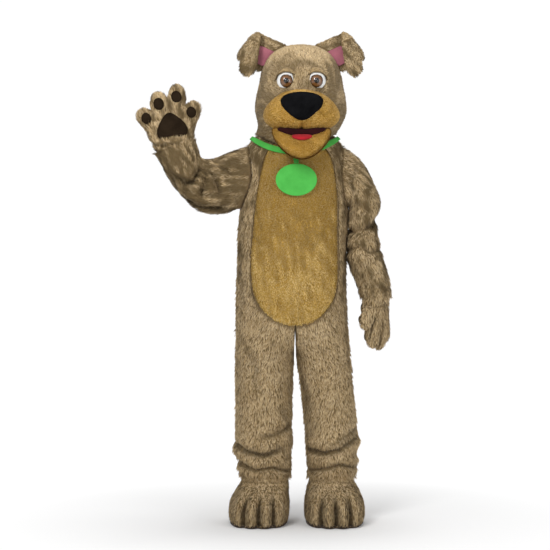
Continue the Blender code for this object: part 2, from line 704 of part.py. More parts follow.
def eye(side, shell, muzzle):
    """One eye with its iris, pupil and lid."""
    name = "_" + side_name(side)
    tools = {}
    for word in ("eye", "iris"):
        tools[word] = finish(face_form(word, side, GAP, EYE_SIDES), "cutter_" + word + name, None)
    white = finish(face_form("eye", side, 0, EYE_SIDES), "eye" + name, "eye_white")
    cut(white, shell)
    cut(white, muzzle)
    iris = finish(face_form("iris", side, 0, EYE_SIDES), "iris" + name, "iris")
    cut(iris, tools["eye"])
    cut(iris, shell)
    pupil = finish(face_form("pupil", side, 0, PUPIL_SIDES), "pupil" + name, "pupil")
    cut(pupil, tools["iris"])
    cut(pupil, tools["eye"])
    lid = finish(face_form("eyelid", side, 0, EYE_SIDES), "eyelid" + name, "coat")
    cut(lid, finish(face_form("lid_arch", side, 0), "cutter_lid" + name, None))
    cut(lid, tools["eye"])
    cut(lid, tools["iris"])
    cut(lid, shell)


def ear_rows():
    """Middle of one ear's cloth: it rises from the head, folds over and hangs in front."""
    lines = {}
    for word, ends in (("base", EAR_BASE), ("fold", EAR_FOLD), ("tip", EAR_TIP)):
        start, end = Vector(ends[0]), Vector(ends[1])
        lines[word] = [start.lerp(end, share) for share in spaced(0, 1, EAR_COLUMNS)]
    drawn_in = [EAR_CORNER * share ** EAR_CORNER_SHARP for share in spaced(-1, 1, EAR_COLUMNS)]
    lines["fold"] = [fold.lerp(base, draw)
                     for base, fold, draw in zip(lines["base"], lines["fold"], drawn_in)]
    rows = []
    for share in spaced(0, 1, EAR_RISE_ROWS)[:-1]:
        rows.append([base.lerp(fold, share) for base, fold in zip(lines["base"], lines["fold"])])
    for turn in spaced(0, math.pi, EAR_BEND_ROWS):
        row = []
        for base, fold in zip(lines["base"], lines["fold"]):
            onward = (fold - base).normalized() * math.sin(turn) * EAR_BEND
            row.append(fold + onward + Vector((0, -EAR_BEND * (1 - math.cos(turn)), 0)))
        rows.append(row)
    start_row = rows[-1]
    for share in spaced(0, 1, EAR_HANG_ROWS + 1)[1:]:
        row = []
        for column, (start, tip) in enumerate(zip(start_row, lines["tip"])):
            round_off = math.sin(math.pi * column / (EAR_COLUMNS - 1)) - EAR_TIP_LEVEL
            place = start.lerp(tip, share)
            place.z -= EAR_TIP_ROUND * round_off * share * share
            row.append(place)
        rows.append(row)
    return rows


def placed(rows, side):
    """Rows of an ear moved to its own side of the head."""
    return [[Vector((HEAD_X + side * point.x, point.y, point.z)) for point in row] for row in rows]


def ear(side, shell):
    """One ear of coat plush with the lining on its rising part."""
    rows = ear_rows()
    front = grow_rows(rows, EAR_WALL / 2)
    back = grow_rows(rows, -EAR_WALL / 2)
    flap = finish(skin(placed(front, side), placed(back, side)), "ear_" + side_name(side), "coat")
    cut(flap, shell)
    rising = [row[LINING_COLUMNS] for row in rows[:EAR_RISE_ROWS - 1]]
    below = placed(grow_rows(rising, -EAR_WALL / 2 - GAP), side)
    above = placed(grow_rows(rising, -EAR_WALL / 2 - GAP - LINING_WALL), side)
    lining = finish(skin(above, below), "ear_lining_" + side_name(side), "lining")
    cut(lining, shell)


def collar_and_tag():
    """The green band round the neck of the suit, its tab and the bare tag."""
    turns = [2 * math.pi * index / COLLAR_SIDES for index in range(COLLAR_SIDES)]
    inner = []
    outer = []
    for height, rise in COLLAR_ROWS:
        places = [(height + rise * math.cos(turn) ** 2, turn) for turn in turns]
        inner.append([torso_point(place, turn, REST_LIFT) for place, turn in places])
        outer.append([torso_point(place, turn, REST_LIFT + COLLAR_WALL) for place, turn in places])
    finish(skin(outer, inner, ring=True), "collar", "green")
    turned = Matrix.Translation(TAG_CENTRE) @ Matrix.Rotation(TAG_LEAN, 4, "X")
    rows = []
    for depth, size in TAG_PROFILE:
        ring = []
        for index in range(TAG_SIDES):
            turn = 2 * math.pi * index / TAG_SIDES
            ring.append(turned @ Vector((TAG_HALF_WIDTH * size * math.cos(turn), TAG_WALL * depth,
                                         TAG_HALF_HEIGHT * size * math.sin(turn))))
        rows.append(ring)
    finish(skin(rows, ring=True), "tag", "green")
    upper = torso_point(COLLAR_ROWS[0][0], math.pi / 2, REST_LIFT + COLLAR_WALL / 2)
    lower = turned @ Vector((0, 0, TAG_HALF_HEIGHT))
    start = upper.lerp(lower, TAB_START)
    end = lower + Vector((0, 0, 2 * GAP))
    front = [[Vector((side * TAB_WIDTH / 2 + place.x, place.y - TAB_WALL / 2, place.z)) for side in (-1, 1)]
             for place in (start, start.lerp(end, 0.5), end)]
    back = [[point + Vector((0, TAB_WALL, 0)) for point in row] for row in front]
    finish(skin(front, back), "tag_tab", "green")


def glove_place(side):
    """The wrist's place and the glove's own directions."""
    middle = sleeve_frame(side, len(SLEEVES[side].rows) - 1)[0]
    across, along, palm = (Vector(axis).normalized() for axis in GLOVE_AXES[side_name(side)])
    turn = Matrix((across, along, palm)).transposed().to_4x4()
    return Matrix.Translation(middle) @ turn


def palm_rows(side, grow):
    """Rings of the palm, from inside the sleeve to the root of the fingers."""
    last = len(SLEEVES[side].rows) - 1
    place = glove_place(side)
    scale = PALM_SCALE[side_name(side)]
    middle, span, depth = sleeve_frame(side, last)
    onward = (middle - sleeve_frame(side, last - CUFF_TURN)[0]).normalized()
    across = Vector(GLOVE_AXES[side_name(side)][0])
    step = 2 * math.pi / GLOVE_SIDES
    first = round(math.atan2(-across.y, across.dot(span.normalized())) / step)
    rows = []
    for reach, slack in ((CUFF_DEPTH, CUFF_SLACK), (0, 0)):
        size = -SLEEVE_WALL - 2 * GAP - slack + grow
        ring = []
        for index in range(GLOVE_SIDES):
            turn = step * (first + index)
            ring.append(middle - onward * reach + span.normalized() * (span.length + size) * math.cos(turn)
                        + Vector((0, -(depth + size) * math.sin(turn), 0)))
        rows.append(ring)
    for values in PALM_ROWS:
        row = dict(zip(PALM_NAMES, values))
        ring = []
        for index in range(GLOVE_SIDES):
            turn = 2 * math.pi * index / GLOVE_SIDES
            ring.append(place @ Vector(((row["half_width"] * scale + grow) * math.cos(turn), row["along"],
                                        (row["half_thick"] * scale + grow) * math.sin(turn))))
        rows.append(ring)
    rows.append([place @ Vector((0, PALM_TOP + grow, 0))] * GLOVE_SIDES)
    return rows


def digit_form(side, number, grow):
    """A finger with round ends."""
    digit = dict(zip(DIGIT_NAMES, DIGIT_ROWS[side_name(side)][number]))
    place = glove_place(side)
    start = Vector((digit["base_across"], digit["base_along"], 0))
    end = Vector((digit["end_across"], digit["end_along"], 0))
    onward = (end - start).normalized()
    sideways = Vector((onward.y, -onward.x, 0))
    radius = digit["radius"] + grow
    rows = []
    for middle, turns in ((start, spaced(-math.pi / 2, 0, DIGIT_ROOT_RINGS)),
                          (end, spaced(0, math.pi / 2, DIGIT_TIP_RINGS))):
        for turn in turns:
            ring = []
            for index in range(DIGIT_SIDES):
                roll = 2 * math.pi * (index + 0.5) / DIGIT_SIDES
                spoke = sideways * math.cos(roll) + Vector((0, 0, 1)) * math.sin(roll)
                ring.append(place @ (middle + onward * radius * math.sin(turn)
                                     + spoke * radius * math.cos(turn)))
            rows.append(ring)
    return skin(rows, ring=True)


def glove(side):
    """A hollow glove of palm and four digits, with a pad on each."""
    name = "_" + side_name(side)
    body = finish(solid_of(palm_rows(side, 0)), "glove" + name, "coat")
    for number in range(DIGITS):
        cut(body, finish(digit_form(side, number, 0), f"joined_digit{name}_{number}", None), "UNION")
    hollow = palm_rows(side, -GLOVE_WALL)
    past = (hollow[0][0] - hollow[1][0]).normalized() * CUFF_DEPTH
    hollow[0] = [point + past for point in hollow[0]]
    cut(body, finish(solid_of(hollow), "cutter_palm" + name, None))
    for number in range(DIGITS):
        cut(body, finish(digit_form(side, number, -GLOVE_WALL), f"cutter_digit{name}_{number}", None))
    palm_tool = finish(solid_of(palm_rows(side, PAD_SEAT)), "cutter_pad" + name, None)
    digit_tools = [finish(digit_form(side, number, PAD_SEAT), f"cutter_pad{name}_{number}", None)
                   for number in range(DIGITS)]
    scale = PALM_SCALE[side_name(side)]
    pad_piece(side, "palm_pad" + name, Vector(PALM_PAD_PLACE) * scale, Vector(PALM_PAD_HALF) * scale,
              PALM_PAD_RISE * scale, PALM_PAD_TAPER, [palm_tool] + digit_tools)
    for number in range(DIGITS):
        digit = dict(zip(DIGIT_NAMES, DIGIT_ROWS[side_name(side)][number]))
        start = Vector((digit["base_across"], digit["base_along"]))
        end = Vector((digit["end_across"], digit["end_along"]))
        centre = end - (end - start).normalized() * DIGIT_PAD_BACK
        size = digit["radius"]
        pad_piece(side, f"digit_pad{name}_{number + 1}", centre, Vector(DIGIT_PAD_HALF) * size,
                  size + PAD_RISE, 0, [digit_tools[number], palm_tool])


def pad_piece(side, name, centre, half, rise, taper, tools):
    """A soft dark pad on the palm side of a glove, narrower towards the fingers by its taper."""
    place = glove_place(side)
    rows = []
    for share, level in PAD_PROFILE:
        ring = []
        for index in range(PAD_SIDES):
            turn = 2 * math.pi * index / PAD_SIDES
            wide = half.x * share * math.cos(turn) * (1 - taper * math.sin(turn))
            ring.append(place @ Vector((centre.x + wide, centre.y + half.y * share * math.sin(turn),
                                        rise * level)))
        rows.append(ring)
    pad = finish(solid_of(rows), name, "pad")
    for tool in tools:
        cut(pad, tool)


def foot_turns():
    """Angles round a foot that meet each toe's crown and each notch."""
    shares = [TOE_EDGE] + [TOE_PITCH * step / TOE_STEPS for step in range(2 * TOE_STEPS - 1, -1, -1)]
    front = [0.0] + [math.acos(share) for share in shares]
    front += [math.pi - turn for turn in front[-2::-1]]
    back = [math.pi + math.pi * step / HEEL_STEPS for step in range(1, HEEL_STEPS)]
    return front + back


def foot_ring(side, values, grow, turns):
    """One section of a foot."""
    row = dict(zip(FOOT_NAMES, values))
    leg = plain_point(side, HEM, 0) + plain_point(side, HEM, math.pi)
    middle = leg.x / 2 - side * row["shift"] * FOOT_OUT[side_name(side)]
    ring = []
    for turn in turns:
        share = math.cos(turn)
        if math.sin(turn) > SAME:
            reach = (1 - abs(share) ** TOE_CURVE) ** (1 / TOE_CURVE)
            groove = math.cos(math.pi * share / TOE_PITCH) ** TOE_SHARP if abs(share) < TOES_REACH else 0
            y = -(row["front"] + grow) * reach * (1 - row["notch"] * groove)
        else:
            y = -(row["back"] + grow) * math.sin(turn)
        ring.append(Vector((middle + side * (row["half"] + grow) * share, y, row["height"])))
    return ring


def foot(side):
    """A hollow foot cover with four toes on a flat sole."""
    turns = foot_turns()
    outer = [foot_ring(side, values, 0, turns) for values in FOOT_ROWS]
    inner = [foot_ring(side, values, -FOOT_WALL, turns) for values in FOOT_ROWS]
    for height in ANKLE_HEIGHTS:
        for rows, depth in ((outer, 0), (inner, FOOT_WALL)):
            lift = -COAT_WALL - ANKLE_CLEAR - depth
            rows.append([body_point(side, height, turn if turn <= math.pi else turn - 2 * math.pi, lift)
                         for turn in turns])
    finish(skin(outer, inner, ring=True), "foot_" + side_name(side), "coat")
    edge = foot_ring(side, FOOT_ROWS[0], 0, turns)
    upper = [point + Vector((0, 0, SOLE_THICK - point.z)) for point in edge]
    lower = [Vector((point.x, point.y, 0)) for point in edge]
    middle = sum(lower, Vector()) / len(lower)
    rows = [[middle] * len(turns), lower, upper, [middle + Vector((0, 0, SOLE_THICK))] * len(turns)]
    finish(skin(rows, ring=True), "sole_" + side_name(side), "sole")


def main():
    """Builds the whole set."""
    for old in list(bpy.data.objects):
        bpy.data.objects.remove(old, do_unlink=True)
    carrier = bpy.data.objects.new(CARRIER, None)
    bpy.context.collection.objects.link(carrier)
    carrier.location = (0, 0, -MOUNT_HEIGHT)
    for side in (-1, 1):
        panel(side, True)
        panel(side, False)
        sleeve(side)
        glove(side)
        foot(side)
    belly_panel()
    head()
    for side in (-1, 1):
        ear(side, bpy.data.objects["cutter_head"])
    collar_and_tag()


main()
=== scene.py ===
"""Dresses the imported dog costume: plush pile, felt, eyes and a studio, around its frame."""

import math

import bmesh
import bpy
import numpy as np
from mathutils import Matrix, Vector
from mathutils.bvhtree import BVHTree


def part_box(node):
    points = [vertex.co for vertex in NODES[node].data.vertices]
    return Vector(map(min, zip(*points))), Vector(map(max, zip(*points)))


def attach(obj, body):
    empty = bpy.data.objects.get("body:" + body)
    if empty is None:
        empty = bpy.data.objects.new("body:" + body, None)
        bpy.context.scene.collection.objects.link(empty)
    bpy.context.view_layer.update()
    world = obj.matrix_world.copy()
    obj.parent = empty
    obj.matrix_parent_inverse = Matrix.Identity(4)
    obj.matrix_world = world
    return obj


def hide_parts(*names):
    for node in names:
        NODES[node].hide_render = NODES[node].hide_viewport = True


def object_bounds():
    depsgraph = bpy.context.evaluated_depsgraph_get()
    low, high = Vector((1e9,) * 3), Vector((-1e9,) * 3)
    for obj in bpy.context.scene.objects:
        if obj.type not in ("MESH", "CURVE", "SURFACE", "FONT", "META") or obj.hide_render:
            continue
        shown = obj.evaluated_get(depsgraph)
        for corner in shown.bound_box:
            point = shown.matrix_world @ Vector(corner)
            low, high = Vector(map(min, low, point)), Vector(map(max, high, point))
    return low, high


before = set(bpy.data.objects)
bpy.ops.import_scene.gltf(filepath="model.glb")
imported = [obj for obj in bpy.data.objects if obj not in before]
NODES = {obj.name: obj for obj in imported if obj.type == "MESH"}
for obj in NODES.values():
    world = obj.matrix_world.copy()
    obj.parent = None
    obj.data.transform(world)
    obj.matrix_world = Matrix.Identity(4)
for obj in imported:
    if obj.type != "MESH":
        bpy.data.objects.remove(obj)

bl_info = {
    "name": "Dog Costume Dressing",
    "version": (1, 0, 0),
    "blender": (4, 5, 0),
    "location": "3D View > Sidebar > Costume",
    "description": "Plush pile, felt face and a studio for a dog mascot costume",
    "category": "Object",
}

CAD_BOX = [list(corner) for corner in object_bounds()]
FINISH = "finish_"        # starts each material's name, apart from the frame's own materials
SIDES = ("right", "left")
DIGITS = range(1, 5)
HEAD_X = 0.023
MUZZLE_MIDDLE = Vector((HEAD_X, -0.20, 0.13))

# Lines that run through the middle of each hollow piece, along the way its pile lies
SPINES = {
    "trunk_right": ((-0.03, 0.0, 0.10), (-0.05, 0.0, -0.30), (-0.08, 0.0, -0.62),
                    (-0.125, 0.0, -0.90), (-0.131, 0.0, -1.32)),
    "trunk_left": ((0.03, 0.0, 0.10), (0.05, 0.0, -0.30), (0.08, 0.0, -0.62),
                   (0.150, 0.0, -0.90), (0.157, 0.0, -1.32)),
    "middle": ((0.0, 0.0, 0.10), (0.0, 0.0, -0.80)),
    "raised_arm": ((-0.20, 0.004, -0.12), (-0.288, 0.004, -0.133), (-0.358, -0.002, -0.137),
                   (-0.415, -0.018, -0.102), (-0.445, -0.040, -0.055), (-0.478, -0.090, 0.020)),
    "raised_hand": ((-0.474, -0.082, 0.00), (-0.490, -0.084, 0.10), (-0.510, -0.082, 0.28)),
    "hanging_arm": ((0.200, 0.002, -0.10), (0.258, 0.000, -0.155), (0.278, -0.002, -0.250),
                    (0.280, -0.008, -0.340), (0.288, -0.018, -0.440), (0.320, -0.030, -0.590)),
    "hanging_hand": ((0.320, -0.030, -0.56), (0.318, -0.034, -0.66), (0.316, -0.040, -0.80)),
    "foot_right": ((-0.119, 0.02, -1.28), (-0.125, -0.02, -1.36), (-0.144, -0.10, -1.52)),
    "foot_left": ((0.157, 0.02, -1.28), (0.157, -0.02, -1.36), (0.157, -0.10, -1.52)),
    "head": ((0.023, 0.0, 0.06), (0.023, 0.02, 0.36)),
    "muzzle": ((0.023, -0.14, 0.13), (0.023, -0.20, 0.13)),
    "jaw": ((0.023, -0.16, 0.03), (0.023, -0.22, 0.00)),
    "ear_right": ((-0.030, 0.0, 0.36), (-0.150, 0.0, 0.42), (-0.196, -0.03, 0.33)),
    "ear_left": ((0.076, 0.0, 0.36), (0.196, 0.0, 0.42), (0.244, -0.03, 0.33)),
}

# Cloth pieces: spine, finish, how far the cloth lies under the pile's tips, rounds of softening,
# and whether the piece is a wall round a hollow
CLOTH_NAMES = ("spine", "finish", "sunk", "soften", "hollow")
CLOTH_ROWS = {
    "front_right": ("trunk_right", "coat", 0.0045, 2, True),
    "front_left": ("trunk_left", "coat", 0.0045, 2, True),
    "back_right": ("trunk_right", "coat", 0.0045, 2, True),
    "back_left": ("trunk_left", "coat", 0.0045, 2, True),
    "belly_panel": ("middle", "belly", 0.0015, 2, True),
    "sleeve_right": ("raised_arm", "coat", 0.0040, 2, True),
    "sleeve_left": ("hanging_arm", "coat", 0.0040, 2, True),
    "glove_right": ("raised_hand", "coat", 0.0030, 1, True),
    "glove_left": ("hanging_hand", "coat", 0.0030, 1, True),
    "foot_right": ("foot_right", "coat", 0.0040, 1, True),
    "foot_left": ("foot_left", "coat", 0.0040, 1, True),
}

# Foam pieces under plush
FOAM_ROWS = {
    "head_shell": ("head", "head", 0.0035, 2, True),
    "muzzle": ("muzzle", "muzzle", 0.0015, 2, False),
    "jaw": ("jaw", "muzzle", 0.0015, 2, False),
    "ear_right": ("ear_right", "ear", 0.0025, 2, False),
    "ear_left": ("ear_left", "ear", 0.0025, 2, False),
    "eyelid_right": ("head", "lid", 0.0010, 2, False),
    "eyelid_left": ("head", "lid", 0.0010, 2, False),
}

# Pile by finish: length, width at the root, lean off the cloth in degrees, strands a square metre
PILE_NAMES = ("length", "width", "lean", "density")
PILE_ROWS = {
    "coat": (0.019, 0.0032, 22.0, 60000),
    "head": (0.013, 0.0028, 32.0, 95000),
    "ear": (0.011, 0.0028, 24.0, 100000),
    "lid": (0.0050, 0.0020, 28.0, 240000),
    "belly": (0.0095, 0.0028, 32.0, 122000),
    "muzzle": (0.0070, 0.0025, 34.0, 160000),
}
THINNER = {"back_right": 0.8, "back_left": 0.8}
STRAND_LENGTHS = (0.72, 1.18)   # shortest and longest strand, against the usual length
HALF_WIDTHS = (0.40, 0.66)      # narrowest and widest half strand, against the usual width
MIDDLE_WIDE = 0.8         # width of a strand at its bend, against its root
BEND_AT = 0.50            # where a strand bends over, along its length
BEND_DOWN = 0.55          # how much flatter it lies past the bend
WANDER = 0.34             # radians that strands turn from the nap
WANDER_DRIFT = 0.8        # how much of that neighbours share
WANDER_OWN = 0.45         # how much of it is each strand's own
LEAN_DRIFT = 0.30         # how far the lean drifts from place to place
LEAN_OWN = 0.16           # how far it varies from strand to strand
CLUMP = 0.16              # how far tips lean together, in strand lengths
CLUMP_AT_BEND = 0.4       # how much of that there is at the bend
TWIST = 0.25              # radians that strands turn about their own length
ROOT_SUNK = 0.0008        # how far a strand starts inside the cloth
STREAK_STRETCH = 0.30     # dark streaks are drawn out along the nap by this share
STREAKS_FROM = -0.95      # below this height streaks are faint, and above the next in full
STREAKS_FULL = -0.30
STREAKS_FAINT = 0.40

# Painted shade: pieces whose pile is painted darker over a range of heights, as shade under the head and
# on
# undersides: height where it starts, where it is in full, and how much darker it is there
PAINTED_SHADE_ROWS = {
    "belly_panel": (-0.56, -0.06, 0.90),
    "front_right": (-0.30, 0.02, 0.26),
    "front_left": (-0.30, 0.02, 0.26),
    "sleeve_right": (0.10, -0.10, 0.34),
    "sleeve_left": (-0.20, -0.60, 0.20),
    "glove_right": (0.16, 0.00, 0.28),
    "head_shell": (0.36, 0.06, 0.70),
    "muzzle": (0.15, 0.06, 0.35),
    "jaw": (0.06, -0.03, 0.35),
}
BEND_SHADE = 0.55         # how far along its colours a strand is at the bend
SOFT_OUT, SOFT_NAP, SOFT_OWN = 0.85, 0.35, 0.16   # shading normals: outwards, along the nap, own

# Slow drifts over the pile: the length over which each one wanders, and its seed
NAP_WANDERS = (0.09, 11)
LEAN_WANDERS = (0.03, 23)
CLUMPS_WANDER = (0.016, 31)
STREAKS_WANDER = (0.020, 47)
DRIFT_WAVES = 7
DRIFT_PACE = 2.4          # radians that a wave turns over that length, on average
DRIFT_MOST = 1.6          # where a drift is held, in standard spreads

# How meshes are cleaned, rounded and creased
MERGE = 0.00005
RIM_ANGLE = math.radians(50)
JOIN_FLAT, JOIN_SQUARE = math.radians(40), math.radians(60)   # triangles that become one face
RIM_ANGLES = (72, 66, 60, 54, 48, 42)   # degrees tried for the rim between a wall's two skins
ONE_SKIN = 0.62           # a wall's outer skin is less than this share of its whole surface
FACES_OUT = 0.25          # how far a face must look away from the spine to be outer
OUTSIDE = 0.75            # a cloth's outer skin is marked 1 and its inner skin 0
SEAM_FIRM = 0.85          # how sharp the cut edges of cloth stay
RIDGE_SHARE = 0.40        # a ridge beside a crease, against the crease's depth
RIDGE_AT = 2.0            # in widths of the crease
RIDGE_WIDE = 1.0
CREASE_ENDS = 5.0         # how fast a crease starts and dies out
CREASE_LEFT = 0.25        # share of it that is left at its ends
CREASE_TURN = 1.6         # how fast it dies out round a limb's side
HOLLOW_NARROWS = 1.2      # how much narrower its shade is than its trough
DEEPEST = 0.011           # creases this deep are shaded in full
FRONT, BACK = 1.0, -1.0

# Shader values that several finishes share
GREY = (0.5, 0.5, 0.5, 1.0)
DARK_FELT = {"Sheen Weight": 0.0, "Specular IOR Level": 0.0}
# Painted shade: the cloth under the brown pile is painted this dark so that gaps between strands read as
# deep
BACKING_SHADE = 0.42      # how dark the cloth under the brown pile is

# Pile finishes: colours at the root (painted shade deep in the pile), along the strand, of light and
# of dark hairs (the dark colour also takes the painted shade by height), the share of dark hairs, and
# the scale of the patches
PLUSH_ROWS = {
    "coat_pile": ("coat_root", "coat_body", "coat_light", "coat_dark", 0.86, 12.0),
    "belly_pile": ("belly_root", "belly_body", "belly_light", "belly_root", 0.50, 4.0),
    "muzzle_pile": ("muzzle_root", "muzzle_body", "muzzle_light", "muzzle_root", 0.34, 10.0),
    "head_pile": ("coat_root", "coat_body", "coat_light", "coat_dark", 0.62, 9.0),
    "ear_pile": ("coat_root", "coat_body", "coat_light", "coat_dark", 0.85, 16.0),
    "lid_pile": ("coat_dark", "coat_body", "coat_body", "coat_dark", 0.55, 9.0),
}

# Pieces that are pushed into the head where they meet it, from how near and how far
ON_HEAD = ("ear_right", "ear_left", "ear_lining_right", "ear_lining_left")
SEAT_REACH = 0.006
SEAT_DEPTH = 0.010

# Pieces whose pile runs out from the muzzle over the head
FROM_MUZZLE = ("head_shell", "muzzle", "eyelid_right", "eyelid_left")

# Trims that pile keeps away from, and the margin
KEEP_CLEAR = {
    "head_shell": ((("eye_right", "eye_left", "eyelid_right", "eyelid_left"), 0.004),
                   (("muzzle", "jaw", "collar"), 0.003)),
    "muzzle": ((("nose", "head_shell", "mouth_lining", "tongue"), 0.0025),
               (("eye_right", "eye_left", "eyelid_right", "eyelid_left"), 0.003)),
    "jaw": ((("head_shell", "mouth_lining", "tongue"), 0.0025),),
}
for side in SIDES:
    pads = (f"palm_pad_{side}", *(f"digit_pad_{side}_{digit}" for digit in DIGITS))
    KEEP_CLEAR[f"ear_{side}"] = (((f"ear_lining_{side}", "head_shell"), 0.004),)
    KEEP_CLEAR[f"eyelid_{side}"] = (((f"iris_{side}", f"pupil_{side}"), 0.003),)
    KEEP_CLEAR[f"glove_{side}"] = ((pads, 0.002),)

# Felt, foam, plastic and rubber pieces: slot and finish, rounds of softening, firmness of rims,
# and how full the padding is where there is any
TRIM_ROWS = {
    "nose": ("nose_felt", 2, 0.0, 1.0),
    "mouth_lining": ("mouth_felt", 2, 0.0, 1.0),
    "tongue": ("tongue_felt", 2, 0.0, 0.8),
    "collar": ("green_felt", 2, 0.4, None),
    "tag_tab": ("green_felt", 2, 0.5, None),
    "tag": ("green_felt", 2, 0.55, 1.0),
}

# Trims that there are two of, one for each side
PAIRED_TRIM_ROWS = {
    "eye": ("eye_white", 2, 0.0, None),
    "iris": ("iris_brown", 2, 0.0, None),
    "pupil": ("pupil_black", 2, 0.0, None),
    "ear_lining": ("pink_plush", 2, 0.3, None),
    "palm_pad": ("pad_felt", 2, 0.0, 0.8),
    "sole": ("sole_rubber", 1, 0.7, None),
}
for side in SIDES:
    TRIM_ROWS.update({f"{word}_{side}": row for word, row in PAIRED_TRIM_ROWS.items()})
    for digit in DIGITS:
        TRIM_ROWS[f"digit_pad_{side}_{digit}"] = PAIRED_TRIM_ROWS["palm_pad"]

# Each cloth's cut: width, length, share of that rectangle, how it is held, and what it rests on
SHEET_ROWS = {
    "front_right": (0.38, 1.42, 0.53, "hung", ("back_right", "belly_panel")),
    "front_left": (0.37, 1.42, 0.50, "hung", ("back_left", "belly_panel")),
    "back_right": (0.42, 1.40, 0.68, "hung", ("front_right",)),
    "back_left": (0.42, 1.40, 0.65, "hung", ("front_left",)),
    "belly_panel": (0.37, 0.80, 0.75, "hung", ("front_right", "front_left")),
    "sleeve_right": (0.60, 0.50, 0.72, "gathered", ("front_right", "back_right")),
    "sleeve_left": (0.56, 0.60, 0.70, "gathered", ("front_left", "back_left")),
    "glove_right": (0.46, 0.38, 0.70, "stretched", ("sleeve_right",)),
    "glove_left": (0.36, 0.32, 0.67, "stretched", ("sleeve_left",)),
    "foot_right": (0.52, 0.40, 0.74, "stretched", ("sole_right",)),
    "foot_left": (0.52, 0.40, 0.74, "stretched", ("sole_left",)),
    "collar": (1.00, 0.034, 0.88, "stretched", ("front_right", "front_left")),
    "tag_tab": (0.020, 0.055, 1.00, "hung", ("collar",)),
    "ear_lining_right": (0.066, 0.094, 0.70, "stretched", ("ear_right",)),
    "ear_lining_left": (0.066, 0.094, 0.70, "stretched", ("ear_left",)),
}

# Studio: floor, lamps with place, aim, size and power, and the camera's film
FLOOR_HALF = 30.0
FLOOR_FRONT = -12.0
FLOOR_BACK = 60.0
FLOOR_NEAR = 0.4          # the paper starts to glow this far out, and glows in full at the next
FLOOR_FAR = 1.3
FLOOR_WHITE = 0.92
WORLD_LIGHT = 0.45
BACKDROP_LIGHT = 1.02
SENSOR = 36.0
LAMP_ROWS = (
    ("key", (-1.6, -3.6, 1.9), (0.0, 0.0, -0.5), 1.6, 112.0),
    ("fill", (2.6, -3.4, 0.4), (0.0, 0.0, -0.6), 2.4, 42.0),
    ("top", (0.3, 0.4, 2.6), (0.0, 0.0, -0.2), 1.6, 44.0),
)
